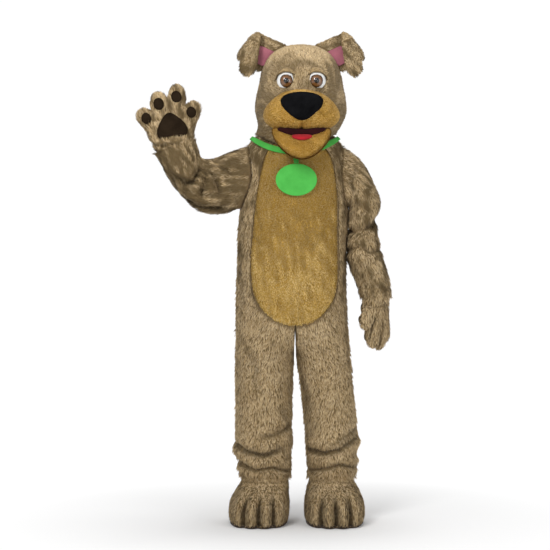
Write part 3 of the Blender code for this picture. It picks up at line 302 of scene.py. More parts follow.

# Creases given one by one, as seen from the front, by piece: side, line of x and z, depth, width
CREASE_NAMES = ("side", "line", "depth", "width")
CREASE_ROWS = {
    "sleeve_right": (
        (FRONT, ((-0.362, -0.070), (-0.398, -0.130), (-0.425, -0.140), (-0.470, -0.116)), 0.017, 0.014),
        (FRONT, ((-0.344, -0.092), (-0.360, -0.140), (-0.368, -0.190)), 0.014, 0.012),
        (FRONT, ((-0.332, -0.080), (-0.312, -0.128), (-0.296, -0.182)), 0.012, 0.011),
        (FRONT, ((-0.322, -0.054), (-0.276, -0.076), (-0.238, -0.104)), 0.007, 0.010),
        (FRONT, ((-0.494, -0.102), (-0.446, -0.190), (-0.384, -0.220), (-0.315, -0.229),
                 (-0.240, -0.226)), 0.013, 0.008),
        (FRONT, ((-0.508, -0.046), (-0.494, -0.088), (-0.456, -0.120)), 0.005, 0.006),
        (FRONT, ((-0.412, -0.160), (-0.432, -0.178), (-0.440, -0.150)), 0.006, 0.008),
        (BACK, ((-0.364, -0.070), (-0.404, -0.122), (-0.468, -0.124)), 0.011, 0.012),
        (BACK, ((-0.344, -0.090), (-0.348, -0.136), (-0.340, -0.190)), 0.009, 0.010),
        (BACK, ((-0.300, -0.070), (-0.280, -0.120), (-0.276, -0.170)), 0.007, 0.010),
    ),
    "sleeve_left": (
        (FRONT, ((0.356, -0.238), (0.300, -0.300), (0.246, -0.320), (0.196, -0.334)), 0.014, 0.013),
        (FRONT, ((0.350, -0.388), (0.292, -0.402), (0.246, -0.384), (0.206, -0.412)), 0.011, 0.010),
        (FRONT, ((0.262, -0.345), (0.232, -0.356), (0.212, -0.372)), 0.006, 0.009),
        (FRONT, ((0.232, -0.546), (0.312, -0.540), (0.390, -0.540)), 0.0045, 0.005),
        (BACK, ((0.232, -0.548), (0.312, -0.542), (0.390, -0.540)), 0.0045, 0.005),
        (FRONT, ((0.238, -0.048), (0.222, -0.120), (0.230, -0.190)), 0.007, 0.012),
        (BACK, ((0.352, -0.250), (0.296, -0.290), (0.210, -0.304)), 0.011, 0.013),
        (BACK, ((0.348, -0.380), (0.290, -0.410), (0.212, -0.398)), 0.009, 0.011),
    ),
    "front_right": (
        (FRONT, ((-0.216, -0.060), (-0.220, -0.150), (-0.210, -0.240)), 0.006, 0.011),
        (FRONT, ((-0.244, -0.420), (-0.214, -0.520), (-0.206, -0.620)), 0.005, 0.014),
        (FRONT, ((-0.190, -0.760), (-0.150, -0.860), (-0.160, -0.960)), 0.005, 0.016),
        (FRONT, ((-0.262, -1.148), (-0.186, -1.188), (-0.124, -1.203), (-0.050, -1.174)), 0.016, 0.014),
        (FRONT, ((-0.256, -1.226), (-0.157, -1.262), (-0.091, -1.250), (-0.004, -1.278)), 0.013, 0.011),
        (FRONT, ((-0.148, -1.136), (-0.082, -1.122), (-0.008, -1.082)), 0.008, 0.013),
        (FRONT, ((-0.060, -1.000), (-0.040, -1.060), (-0.012, -1.100)), 0.005, 0.012),
    ),
    "front_left": (
        (FRONT, ((0.226, -0.040), (0.206, -0.110), (0.198, -0.230)), 0.006, 0.011),
        (FRONT, ((0.202, -0.380), (0.192, -0.470), (0.206, -0.580)), 0.005, 0.012),
        (FRONT, ((0.026, -0.900), (0.046, -0.960), (0.052, -1.040)), 0.006, 0.014),
        (FRONT, ((0.228, -0.860), (0.222, -0.900), (0.236, -0.950)), 0.007, 0.008),
        (FRONT, ((0.030, -1.176), (0.110, -1.194), (0.168, -1.180), (0.252, -1.124)), 0.016, 0.014),
        (FRONT, ((0.034, -1.270), (0.121, -1.256), (0.173, -1.238), (0.268, -1.262)), 0.013, 0.011),
        (FRONT, ((0.140, -1.158), (0.210, -1.116), (0.276, -1.082)), 0.008, 0.012),
    ),
    "back_right": (
        (BACK, ((-0.262, -1.140), (-0.190, -1.176), (-0.100, -1.196), (-0.030, -1.180)), 0.014, 0.014),
        (BACK, ((-0.256, -1.236), (-0.150, -1.254), (-0.080, -1.262), (-0.004, -1.250)), 0.012, 0.012),
        (BACK, ((-0.240, -0.560), (-0.170, -0.590), (-0.090, -0.640)), 0.007, 0.016),
        (BACK, ((-0.230, -0.180), (-0.160, -0.250), (-0.120, -0.340)), 0.006, 0.018),
        (BACK, ((-0.220, -0.880), (-0.140, -0.900), (-0.070, -0.870)), 0.007, 0.014),
        (BACK, ((-0.200, -0.020), (-0.196, -0.100), (-0.220, -0.180)), 0.006, 0.012),
    ),
    "back_left": (
        (BACK, ((0.030, -1.166), (0.120, -1.190), (0.190, -1.172), (0.262, -1.130)), 0.014, 0.014),
        (BACK, ((0.034, -1.262), (0.130, -1.246), (0.190, -1.240), (0.268, -1.256)), 0.012, 0.012),
        (BACK, ((0.250, -0.580), (0.170, -0.600), (0.080, -0.650)), 0.007, 0.016),
        (BACK, ((0.226, -0.160), (0.170, -0.220), (0.110, -0.350)), 0.006, 0.018),
        (BACK, ((0.070, -0.900), (0.150, -0.880), (0.240, -0.910)), 0.007, 0.014),
        (BACK, ((0.196, -0.020), (0.190, -0.100), (0.214, -0.180)), 0.006, 0.012),
    ),
    "belly_panel": (
        (FRONT, ((-0.150, -0.236), (-0.142, -0.280), (-0.126, -0.318)), 0.004, 0.007),
        (FRONT, ((-0.168, -0.336), (-0.140, -0.362), (-0.124, -0.384)), 0.004, 0.007),
        (FRONT, ((0.060, -0.400), (0.098, -0.350), (0.126, -0.290)), 0.003, 0.010),
        (FRONT, ((-0.020, -0.240), (0.040, -0.300), (0.050, -0.380)), 0.003, 0.014),
        (FRONT, ((0.012, -0.560), (0.012, -0.640), (0.012, -0.710)), 0.003, 0.004),
    ),
    "glove_left": (
        (FRONT, ((0.351, -0.690), (0.340, -0.730), (0.324, -0.820)), 0.013, 0.006),
        (FRONT, ((0.322, -0.640), (0.304, -0.690), (0.292, -0.760)), 0.013, 0.006),
        (BACK, ((0.330, -0.690), (0.326, -0.740), (0.320, -0.800)), 0.005, 0.005),
        (FRONT, ((0.266, -0.606), (0.310, -0.616), (0.370, -0.604)), 0.006, 0.006),
    ),
    "glove_right": (
        (FRONT, ((-0.576, 0.014), (-0.520, 0.006), (-0.450, 0.010), (-0.390, 0.030)), 0.015, 0.008),
        (FRONT, ((-0.570, -0.008), (-0.530, -0.018), (-0.480, -0.010)), 0.012, 0.007),
        (FRONT, ((-0.572, 0.100), (-0.556, 0.120), (-0.560, 0.150)), 0.006, 0.007),
        (FRONT, ((-0.452, 0.150), (-0.446, 0.180), (-0.450, 0.205)), 0.007, 0.006),
        (BACK, ((-0.566, 0.024), (-0.500, 0.012), (-0.424, 0.046)), 0.009, 0.008),
    ),
    "muzzle": (
        (FRONT, ((HEAD_X, 0.092), (HEAD_X, 0.048)), 0.007, 0.004),
    ),
}

# The hanging sleeve and the side of the trunk swell towards each other down to the elbow
SLEEVE_SWELL = (((0.234, -0.190), (0.232, -0.310), (0.232, -0.460)), -0.023, 0.036)
TRUNK_SWELL = (((0.212, -0.160), (0.208, -0.320), (0.210, -0.500)), -0.009, 0.045)
for side, trunk in ((FRONT, "front_left"), (BACK, "back_left")):
    CREASE_ROWS["sleeve_left"] += ((side, *SLEEVE_SWELL),)
    CREASE_ROWS[trunk] += ((side, *TRUNK_SWELL),)

# Notches between the toes: the foot's middle at the floor and at the instep
TOE_ROWS = {"foot_right": (-0.144, -0.136), "foot_left": (0.157, 0.155)}
TOE_SPREAD = 0.058
TOE_NARROWS = 0.8         # how much closer the notches lie at the instep
INSTEP, TOE_TIP, UNDER_TOE = -1.355, -1.410, -1.540
TOE_DEPTH, TOE_WIDTH = 0.019, 0.011
for foot, (low_middle, high_middle) in TOE_ROWS.items():
    CREASE_ROWS[foot] = ()
    for step in (-1, 0, 1):
        low_x = low_middle + step * TOE_SPREAD
        high_x = high_middle + step * TOE_SPREAD * TOE_NARROWS
        notch = ((high_x, INSTEP), (low_x, TOE_TIP), (low_x, UNDER_TOE))
        CREASE_ROWS[foot] += ((FRONT, notch, TOE_DEPTH, TOE_WIDTH),)


class Named:
    """One row of a table, read by its column names."""

    def __init__(self, names, row):
        for name, value in zip(names, row):
            setattr(self, name, value)


CLOTH = {name: Named(CLOTH_NAMES, row) for name, row in CLOTH_ROWS.items()}
FOAM = {name: Named(CLOTH_NAMES, row) for name, row in FOAM_ROWS.items()}
PILES = {name: Named(PILE_NAMES, row) for name, row in PILE_ROWS.items()}
CREASES = {name: [Named(CREASE_NAMES, row) for row in rows] for name, rows in CREASE_ROWS.items()}


def link_piece(name, mesh, material):
    """A finished piece in the scene, carried by the costume's one body."""
    piece = bpy.data.objects.new(name, mesh)
    bpy.context.scene.collection.objects.link(piece)
    mesh.materials.clear()
    mesh.materials.append(bpy.data.materials[FINISH + material])
    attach(piece, "root")
    return piece


def largest_stretch(bm, edge_angle):
    """The largest stretch of faces that no outward edge over an angle divides, and its area."""
    left = set(bm.faces)
    largest, outer = 0.0, []
    while left:
        stack = [left.pop()]
        island = []
        while stack:
            face = stack.pop()
            island.append(face)
            for edge in face.edges:
                if edge.calc_face_angle_signed(0) > edge_angle:
                    continue
                for other in edge.link_faces:
                    if other in left:
                        left.remove(other)
                        stack.append(other)
        area = sum(face.calc_area() for face in island)
        if area > largest:
            largest, outer = area, island
    return outer, largest


def mark_outer(bm, hollow_round):
    """Marks the points of a wall's outer skin, or all points of a piece that has no hollow."""
    skin = bm.verts.layers.float.new("outer")
    whole = sum(face.calc_area() for face in bm.faces)
    outer = bm.faces
    if hollow_round:
        for degrees in RIM_ANGLES:
            outer, area = largest_stretch(bm, math.radians(degrees))
            if area < ONE_SKIN * whole:
                break
        else:
            middles = np.array([face.calc_center_median() for face in bm.faces])
            away = outward_of(hollow_round, middles)
            outer = [face for face, out in zip(bm.faces, away)
                     if face.normal.dot(Vector(out)) > FACES_OUT]
    for face in outer:
        for vert in face.verts:
            vert[skin] = 1.0


def softened(name, node, rounds, firm=0.0, hollow_round=None):
    """A mesh copied from a node of the frame, merged and rounded off; firm keeps its sharp rims."""
    bm = bmesh.new()
    bm.from_mesh(NODES[node].data)
    bmesh.ops.remove_doubles(bm, verts=bm.verts, dist=MERGE)
    bmesh.ops.join_triangles(bm, faces=bm.faces, angle_face_threshold=JOIN_FLAT,
                             angle_shape_threshold=JOIN_SQUARE)
    mark_outer(bm, hollow_round)
    if firm:
        crease = bm.edges.layers.float.new("crease_edge")
        for edge in bm.edges:
            if edge.calc_face_angle(0) > RIM_ANGLE:
                edge[crease] = firm
    rough = bpy.data.meshes.new(name + "_rough")
    bm.to_mesh(rough)
    bm.free()
    holder = bpy.data.objects.new(name + "_holder", rough)
    bpy.context.scene.collection.objects.link(holder)
    rounding = holder.modifiers.new("rounding", "SUBSURF")
    rounding.levels = rounds
    rounding.render_levels = rounds
    depsgraph = bpy.context.evaluated_depsgraph_get()
    mesh = bpy.data.meshes.new_from_object(holder.evaluated_get(depsgraph))
    mesh.name = name
    bpy.data.objects.remove(holder)
    bpy.data.meshes.remove(rough)
    mesh.shade_smooth()
    return mesh


def read_points(mesh):
    """A mesh's points and their normals, as arrays."""
    points = np.empty(len(mesh.vertices) * 3)
    normals = np.empty(len(mesh.vertices) * 3)
    mesh.vertices.foreach_get("co", points)
    mesh.vertex_normals.foreach_get("vector", normals)
    return points.reshape(-1, 3), normals.reshape(-1, 3)


def write_points(mesh, points):
    """Moves a mesh's points to new places."""
    mesh.vertices.foreach_set("co", points.ravel())
    mesh.update()


def tree_of(node):
    """A search tree over the faces of a node of the frame."""
    mesh = NODES[node].data
    return BVHTree.FromPolygons([v.co for v in mesh.vertices], [p.vertices for p in mesh.polygons])


def unit(vectors):
    """Vectors at length one."""
    return vectors / np.maximum(np.linalg.norm(vectors, axis=1, keepdims=True), 1e-9)


def along_line(line, points):
    """The nearest place on a line of points, the line's direction, how far along, and the gap."""
    line = np.array(line)
    best = np.full(len(points), np.inf)
    place = np.zeros((len(points), 3))
    direction = np.zeros((len(points), 3))
    reach = np.zeros(len(points))
    passed = 0.0
    for start, end in zip(line[:-1], line[1:]):
        step = end - start
        size = np.linalg.norm(step)
        share = np.clip((points - start) @ step / size ** 2, 0, 1)
        spot = start + share[:, None] * step
        gap = np.linalg.norm(points - spot, axis=1)
        closer = gap < best
        best[closer] = gap[closer]
        place[closer] = spot[closer]
        direction[closer] = step / size
        reach[closer] = passed + share[closer] * size
        passed += size
    return place, direction, reach / passed, best


def drift(points, size, seed):
    """A smooth value from -1 to 1 that wanders over lengths of the given size."""
    rng = np.random.default_rng(seed)
    total = np.zeros(len(points))
    for _ in range(DRIFT_WAVES):
        wave = rng.normal(size=3) * (DRIFT_PACE / size)
        total += np.sin(points @ wave + rng.uniform(0, 2 * math.pi))
    return np.clip(total / math.sqrt(DRIFT_WAVES), -DRIFT_MOST, DRIFT_MOST) / DRIFT_MOST


def outward_of(spine, points):
    """Away from a spine, and from its ends past them."""
    return unit(points - along_line(SPINES[spine], points)[0])


def crease_at(row, away, points):
    """How far each point lies from a crease in widths, and how much of the crease is left there."""
    flat = points * (1.0, 0.0, 1.0)
    _, _, share, gap = along_line([(x, 0.0, z) for x, z in row.line], flat)
    ends = np.clip(np.minimum(share, 1 - share) * CREASE_ENDS, 0, 1)
    facing = np.clip(0.5 - CREASE_TURN * row.side * away[:, 1], 0, 1)
    return gap / row.width, (CREASE_LEFT + (1 - CREASE_LEFT) * ends) * facing


def press_creases(name, spine, points):
    """Presses the listed creases of a piece: a soft trough with a low ridge beside it."""
    away = outward_of(spine, points)
    pressed = points.copy()
    for row in CREASES.get(name, ()):
        gap, left = crease_at(row, away, points)
        ridge = np.exp(-((gap - RIDGE_AT) / RIDGE_WIDE) ** 2)
        move = (-np.exp(-gap ** 2) + RIDGE_SHARE * ridge) * row.depth * left
        pressed += away * move[:, None]
    return pressed


def outer_marks(mesh):
    """How far each point belongs to the outer skin, from 0 to 1."""
    marks = np.empty(len(mesh.vertices))
    mesh.attributes["outer"].data.foreach_get("value", marks)
    return marks


def roots_on(mesh, density, rng):
    """Places spread evenly over the outer side of a cloth, with the cloth's normals there."""
    mesh.calc_loop_triangles()
    count = len(mesh.loop_triangles)
    corners = np.empty(count * 3, dtype=np.int32)
    mesh.loop_triangles.foreach_get("vertices", corners)
    corners = corners.reshape(-1, 3)
    points, normals = read_points(mesh)
    a, b, c = (points[corners[:, k]] for k in range(3))
    cross = np.cross(b - a, c - a)
    area = np.linalg.norm(cross, axis=1) / 2
    area = np.where(outer_marks(mesh)[corners].min(axis=1) > OUTSIDE, area, 0)
    chosen = rng.choice(count, size=int(area.sum() * density), p=area / area.sum())
    u, v = rng.random((2, len(chosen)))
    flip = u + v > 1
    u[flip], v[flip] = 1 - u[flip], 1 - v[flip]
    weights = np.stack([1 - u - v, u, v], axis=1)[:, :, None]
    spots = (points[corners[chosen]] * weights).sum(axis=1)
    facing = unit((normals[corners[chosen]] * weights).sum(axis=1))
    return spots, facing


def clear_of(spots, trims, margin):
    """Which places lie at least a margin away from the named nodes."""
    free = np.ones(len(spots), dtype=bool)
    for trim in trims:
        tree = tree_of(trim)
        low, high = (np.array(corner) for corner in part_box(trim))
        near = np.all((spots > low - margin) & (spots < high + margin), axis=1)
        for index in np.nonzero(near & free)[0]:
            if tree.find_nearest(Vector(spots[index]), margin)[0] is not None:
                free[index] = False
    return free


def lay_pile(name, mesh, spine, finish):
    """The pile on one cloth: every strand is three small faces that lie along the nap."""
    kind = PILES[finish]
    settings = bpy.context.scene.costume_pile
    rng = np.random.default_rng(sum(map(ord, name)))
    density = kind.density * settings.fullness * THINNER.get(name, 1.0)
    density *= 1.0
    roots, facing = roots_on(mesh, density, rng)
    for trims, margin in KEEP_CLEAR.get(name, ()):
        free = clear_of(roots, trims, margin)
        roots, facing = roots[free], facing[free]
    count = len(roots)
    along = along_line(SPINES[spine], roots)[1]
    if name in FROM_MUZZLE:
        along = unit(roots - np.array(MUZZLE_MIDDLE))
    nap = unit(along - np.sum(along * facing, axis=1)[:, None] * facing)
    across = np.cross(facing, nap)
    turn = WANDER * (WANDER_DRIFT * drift(roots, *NAP_WANDERS) + rng.normal(0, WANDER_OWN, count))
    nap, across = (nap * np.cos(turn)[:, None] + across * np.sin(turn)[:, None],
                   across * np.cos(turn)[:, None] - nap * np.sin(turn)[:, None])
    length = kind.length * settings.length_share * rng.uniform(*STRAND_LENGTHS, count)[:, None]
    lean = 1 + LEAN_DRIFT * drift(roots, *LEAN_WANDERS) + rng.normal(0, LEAN_OWN, count)
    lean = np.radians(kind.lean * lean)[:, None]
    twist = rng.normal(0, TWIST, count)[:, None]
    side = (across * np.cos(twist) + facing * np.sin(twist)) * kind.width
    side = side * rng.uniform(*HALF_WIDTHS, count)[:, None]
    clump = across * (drift(roots, *CLUMPS_WANDER) * kind.length * CLUMP)[:, None]
    bend = BEND_AT * length
    middle = roots + nap * bend * np.cos(lean) + facing * bend * np.sin(lean) + clump * CLUMP_AT_BEND
    low = lean * (1 - BEND_DOWN)
    tip = middle + nap * (length - bend) * np.cos(low) + facing * (length - bend) * np.sin(low) + clump
    foot = roots - facing * ROOT_SUNK
    corners = np.stack([foot - side, foot + side, middle - side * MIDDLE_WIDE,
                        middle + side * MIDDLE_WIDE, tip], axis=1)
    corners[:, :, 2] = np.maximum(corners[:, :, 2], CAD_BOX[0][2])
    first = np.arange(count)[:, None] * 5
    faces = np.concatenate([first + [0, 3, 1], first + [0, 2, 3], first + [2, 4, 3]])
    pile = bpy.data.meshes.new("pile_" + name)
    pile.from_pydata(corners.reshape(-1, 3), [], faces)
    # Strand colours: place along the strand, a random tone, dark streaks with painted shade by height,
    # and the painted crease shade (1 where there is none)
    shade = np.zeros((count, 5, 4), dtype=np.float32)
    shade[:, :, 0] = [0.0, 0.0, BEND_SHADE, BEND_SHADE, 1.0]
    shade[:, :, 1] = rng.random(count)[:, None]
    shade[:, :, 2] = streaks_and_painted_shade_at(name, along, roots)[:, None]
    shade[:, :, 3] = 1 - hollow_at(name, spine, roots)[:, None]
    strand = pile.attributes.new("strand", "FLOAT_COLOR", "POINT")
    strand.data.foreach_set("color", shade.ravel())
    pile.shade_smooth()
    soft = unit(facing * SOFT_OUT + nap * SOFT_NAP + rng.normal(0, SOFT_OWN, (count, 3)))
    pile.normals_split_custom_set_from_vertices(np.repeat(soft, 5, axis=0))
    return link_piece("pile_" + name, pile, finish + "_pile")


def streaks_and_painted_shade_at(name, along, roots):
    """How dark the hairs are at each root, from 0 to 1: dark streaks along the nap, and painted shade
    over a range of heights.
    """
    start, full, painted_shade = PAINTED_SHADE_ROWS.get(name, (0.0, 1.0, 0.0))
    streak_at = roots - along * (np.sum(roots * along, axis=1) * (1 - STREAK_STRETCH))[:, None]
    faint = np.clip((roots[:, 2] - STREAKS_FROM) / (STREAKS_FULL - STREAKS_FROM), 0, 1)
    streaks_and_shade = 0.5 + 0.5 * drift(streak_at, *STREAKS_WANDER)
    streaks_and_shade *= STREAKS_FAINT + (1 - STREAKS_FAINT) * faint
    # painted shade: the pile is painted darker over the piece's range of heights
    streaks_and_shade += painted_shade * np.clip((roots[:, 2] - start) / (full - start), 0, 1)
    return np.clip(streaks_and_shade, 0, 1)


def hollow_at(name, spine, points):
    """How deep each place lies in the creases of a cloth piece, from 0 to 1; the pile is painted darker
    there as crease shade.
    """
    total = np.zeros(len(points))
    away = outward_of(spine, points)
    for row in CREASES.get(name, ()):
        gap, left = crease_at(row, away, points)
        total += np.exp(-(HOLLOW_NARROWS * gap) ** 2) * left * row.depth / DEEPEST
    return np.clip(total, 0, 1)


def seated(points):
    """Points with those that meet the head pushed a little way into it, so that no gap shows."""
    tree = tree_of("head_shell")
    inward = -outward_of("head", points)
    for index, point in enumerate(points):
        gap = tree.find_nearest(Vector(point), SEAT_REACH)[3]
        if gap is not None:
            points[index] += inward[index] * SEAT_DEPTH * (1 - gap / SEAT_REACH)
    return points


def dress(name, row):
    """One cloth or foam piece with its pile, in place of the plain node of the same name."""
    mesh = softened("cloth_" + name, name, row.soften, SEAM_FIRM if row.hollow else 0.0,
                    row.spine if row.hollow else None)
    points, normals = read_points(mesh)
    points -= normals * (row.sunk * outer_marks(mesh))[:, None]
    points = press_creases(name, row.spine, points)
    write_points(mesh, seated(points) if name in ON_HEAD else points)
    cloth = link_piece("cloth_" + name, mesh, row.finish + "_cloth")
    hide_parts(name)
    return cloth, lay_pile(name, mesh, row.spine, row.finish)


def add_node(tree, kind, inputs=None, **settings):
    """A shader node with its settings, its inputs given as values or as links from other nodes."""
    made = tree.nodes.new(kind)
    for name, value in settings.items():
        setattr(made, name, value)
    for name, value in (inputs or {}).items():
        if isinstance(value, bpy.types.NodeSocket):
            tree.links.new(value, made.inputs[name])
        else:
            made.inputs[name].default_value = value
    return made


def new_group(name, inputs, outputs):
    """An empty node group with named inputs and outputs."""
    group = bpy.data.node_groups.new(name, "ShaderNodeTree")
    for label, kind, default in inputs:
        socket = group.interface.new_socket(label, in_out="INPUT", socket_type=kind)
        socket.default_value = default
    for label, kind in outputs:
        group.interface.new_socket(label, in_out="OUTPUT", socket_type=kind)
    return group, group.nodes.new("NodeGroupInput"), group.nodes.new("NodeGroupOutput")


def blend_colours(tree, share, first, second, kind="MIX"):
    """A mix of two colours, and its result."""
    mix = tree.nodes.new("ShaderNodeMix")
    mix.data_type = "RGBA"
    mix.blend_type = kind
    for socket, value in zip((mix.inputs[0], mix.inputs[6], mix.inputs[7]), (share, first, second)):
        if isinstance(value, bpy.types.NodeSocket):
            tree.links.new(value, socket)
        else:
            socket.default_value = value
    return mix.outputs[2]


def ranged(tree, value, low, high, to_low=0.0, to_high=1.0):
    """A value stretched from one range to another, and held inside it."""
    made = add_node(tree, "ShaderNodeMapRange", {0: value, 1: low, 2: high, 3: to_low, 4: to_high})
    return made.outputs[0]


def plush_colour_group():
    """Colour along a strand: dark at the root as painted shade deep in the pile, light or dark hairs and
    patches past it, with painted shade by height and in creases.
    """
    group, given, result = new_group(
        "Plush colour",
        [("Strand", "NodeSocketColor", GREY), ("Root", "NodeSocketColor", GREY),
         ("Body", "NodeSocketColor", GREY), ("Light", "NodeSocketColor", GREY),
         ("Dark", "NodeSocketColor", GREY), ("Dark Share", "NodeSocketFloat", 0.4),
         ("Hollow", "NodeSocketFloat", 1.0), ("Patch Scale", "NodeSocketFloat", 9.0)],
        [("Color", "NodeSocketColor")])
    parts = add_node(group, "ShaderNodeSeparateColor", {0: given.outputs["Strand"]})
    place = add_node(group, "ShaderNodeTexCoord")
    patches = add_node(group, "ShaderNodeTexNoise", {"Vector": place.outputs["Object"],
                       "Scale": given.outputs["Patch Scale"], "Detail": 3.0, "Roughness": 0.6})
    chance = add_node(group, "ShaderNodeMath", {0: parts.outputs[1], 1: patches.outputs["Fac"]},
                      operation="ADD")
    light = ranged(group, chance.outputs[0], 0.75, 1.35)
    body = blend_colours(group, light, given.outputs["Body"], given.outputs["Light"])
    # the strand's third channel holds dark streaks and painted shade by height, which mix in the dark
    # colour
    dim = add_node(group, "ShaderNodeMath", {0: parts.outputs[2], 1: patches.outputs["Fac"]},
                   operation="SUBTRACT")
    dark = ranged(group, dim.outputs[0], -0.10, 0.42)
    dark_share = add_node(group, "ShaderNodeMath", {0: dark, 1: given.outputs["Dark Share"]},
                          operation="MULTIPLY")
    mixed = blend_colours(group, dark_share.outputs[0], body, given.outputs["Dark"])
    # painted shade deep in the pile: darker towards the root
    tip = ranged(group, parts.outputs[0], 0.0, 0.75)
    rooted = blend_colours(group, tip, given.outputs["Root"], mixed)
    # painted shade in creases: the colour falls to 0.35 of itself where a crease is deepest
    hollow = ranged(group, given.outputs["Hollow"], 0.0, 1.0, 0.35, 1.0)
    shaded = blend_colours(group, 1.0, rooted, hollow, "MULTIPLY")
    group.links.new(shaded, result.inputs["Color"])
    return group


def felt_group():
    """Felt or backing cloth: matted fibres with faint blotches, and their height."""
    group, given, result = new_group(
        "Felt face",
        [("Color", "NodeSocketColor", GREY), ("Shadow", "NodeSocketColor", GREY),
         ("Fibre Scale", "NodeSocketFloat", 700.0), ("Blotch Scale", "NodeSocketFloat", 24.0)],
        [("Color", "NodeSocketColor"), ("Height", "NodeSocketFloat"), ("Rough", "NodeSocketFloat")])
    place = add_node(group, "ShaderNodeTexCoord")
    fibre = add_node(group, "ShaderNodeTexNoise", {"Vector": place.outputs["Object"],
                     "Scale": given.outputs["Fibre Scale"], "Detail": 4.0, "Roughness": 0.7,
                     "Distortion": 0.6})
    blotch = add_node(group, "ShaderNodeTexNoise", {"Vector": place.outputs["Object"],
                      "Scale": given.outputs["Blotch Scale"], "Detail": 3.0})
    both = add_node(group, "ShaderNodeMath", {0: fibre.outputs["Fac"], 1: blotch.outputs["Fac"]},
                    operation="ADD")
    shadow = ranged(group, both.outputs[0], 0.75, 1.25, 1.0, 0.0)
    mixed = blend_colours(group, shadow, given.outputs["Color"], given.outputs["Shadow"])
    group.links.new(mixed, result.inputs["Color"])
    group.links.new(fibre.outputs["Fac"], result.inputs["Height"])
    group.links.new(ranged(group, fibre.outputs["Fac"], 0.3, 0.7, 0.82, 0.98), result.inputs["Rough"])
    return group


def shader_of(name, sockets):
    """A new material and its shader, with the constant values on the shader's own sockets."""
    material = bpy.data.materials.new(FINISH + name)
    material.use_nodes = True
    tree = material.node_tree
    shader = tree.nodes["Principled BSDF"]
    for socket, value in sockets.items():
        shader.inputs[socket].default_value = value
    return tree, shader


def opaque(colour):
    """A colour property as a shader colour."""
    return (*colour, 1.0)


def shaded(colour, share):
    """A colour at a share of its brightness."""
    return tuple(share * part for part in colour)


def plush_material(name, hairs, dark_share, patch_scale):
    """Finish of the pile itself, coloured strand by strand."""
    tree, shader = shader_of(name, {"Roughness": 0.82, "Sheen Weight": 0.04, "Sheen Roughness": 0.45,
                                    "Specular IOR Level": 0.06})
    strand = add_node(tree, "ShaderNodeAttribute", attribute_name="strand")
    group = add_node(tree, "ShaderNodeGroup", node_tree=bpy.data.node_groups["Plush colour"])
    for socket, colour in zip(("Root", "Body", "Light", "Dark"), hairs):
        group.inputs[socket].default_value = opaque(colour)
    group.inputs["Dark Share"].default_value = dark_share
    group.inputs["Patch Scale"].default_value = patch_scale
    tree.links.new(strand.outputs["Color"], group.inputs["Strand"])
    tree.links.new(strand.outputs["Alpha"], group.inputs["Hollow"])
    tree.links.new(group.outputs["Color"], shader.inputs["Base Color"])


def felt_material(name, colour, shadow, fibre_scale=700.0, blotch_scale=24.0, height=0.0006,
                  **sockets):
    """Matted felt, foam cover or backing cloth."""
    values = {"Sheen Weight": 0.06, "Sheen Roughness": 0.5, "Specular IOR Level": 0.08}
    values.update(sockets)
    tree, shader = shader_of(name, values)
    group = add_node(tree, "ShaderNodeGroup", node_tree=bpy.data.node_groups["Felt face"])
    for socket, value in (("Color", opaque(colour)), ("Shadow", opaque(shadow)),
                          ("Fibre Scale", fibre_scale), ("Blotch Scale", blotch_scale)):
        group.inputs[socket].default_value = value
    tree.links.new(group.outputs["Color"], shader.inputs["Base Color"])
    tree.links.new(group.outputs["Rough"], shader.inputs["Roughness"])
    bump = add_node(tree, "ShaderNodeBump", {"Height": group.outputs["Height"], "Distance": height,
                                             "Strength": 0.8})
    tree.links.new(bump.outputs["Normal"], shader.inputs["Normal"])


def gloss_material(name, colour, tint, roughness):
    """Moulded eye plastic under a clear coat, a little uneven."""
    tree, shader = shader_of(name, {"Coat Weight": 0.6, "Coat Roughness": 0.05})
    place = add_node(tree, "ShaderNodeTexCoord")
    smudge = add_node(tree, "ShaderNodeTexNoise", {"Vector": place.outputs["Object"], "Scale": 60.0,
                                                   "Detail": 3.0})
    smeared = ranged(tree, smudge.outputs["Fac"], 0.3, 0.8)
    mixed = blend_colours(tree, smeared, opaque(colour), opaque(tint))
    tree.links.new(mixed, shader.inputs["Base Color"])
    tree.links.new(ranged(tree, smudge.outputs["Fac"], 0.2, 0.8, roughness * 0.7, roughness * 1.5),
                   shader.inputs["Roughness"])


def iris_material(name, colour, rim, glow):
    """Painted iris: a dark rim, a lighter ring and fine spokes, read from how far out a point lies."""
    tree, shader = shader_of(name, {"Coat Weight": 0.8, "Coat Roughness": 0.04, "Roughness": 0.18})
    ring = add_node(tree, "ShaderNodeAttribute", attribute_name="ring")
    split = add_node(tree, "ShaderNodeSeparateColor", {0: ring.outputs["Color"]})
    spoke_at = add_node(tree, "ShaderNodeCombineXYZ", {"X": split.outputs[1], "Y": split.outputs[2]})
    spokes = add_node(tree, "ShaderNodeTexNoise", {"Vector": spoke_at.outputs[0], "Scale": 14.0,
                                                   "Detail": 4.0, "Roughness": 0.7})
    bright = ranged(tree, spokes.outputs["Fac"], 0.35, 0.70)
    lit = blend_colours(tree, bright, opaque(colour), opaque(glow))
    edged = blend_colours(tree, ranged(tree, split.outputs[0], 0.72, 0.98), lit, opaque(rim))
    tree.links.new(edged, shader.inputs["Base Color"])


def colour_property(name, description, default):
    """A colour that the panel shows."""
    return bpy.props.FloatVectorProperty(name=name, description=description, subtype="COLOR",
                                         size=3, min=0.0, max=1.0, default=default)


class CostumePile(bpy.types.PropertyGroup):
    """How full and long the plush is."""
    fullness: bpy.props.FloatProperty(name="Fullness", description="Strands against the usual number",
                                      default=1.0, min=0.1, max=1.2, subtype="FACTOR")
    length_share: bpy.props.FloatProperty(name="Length", description="Strand length against the usual",
                                          default=1.0, min=0.5, max=1.2, subtype="FACTOR")


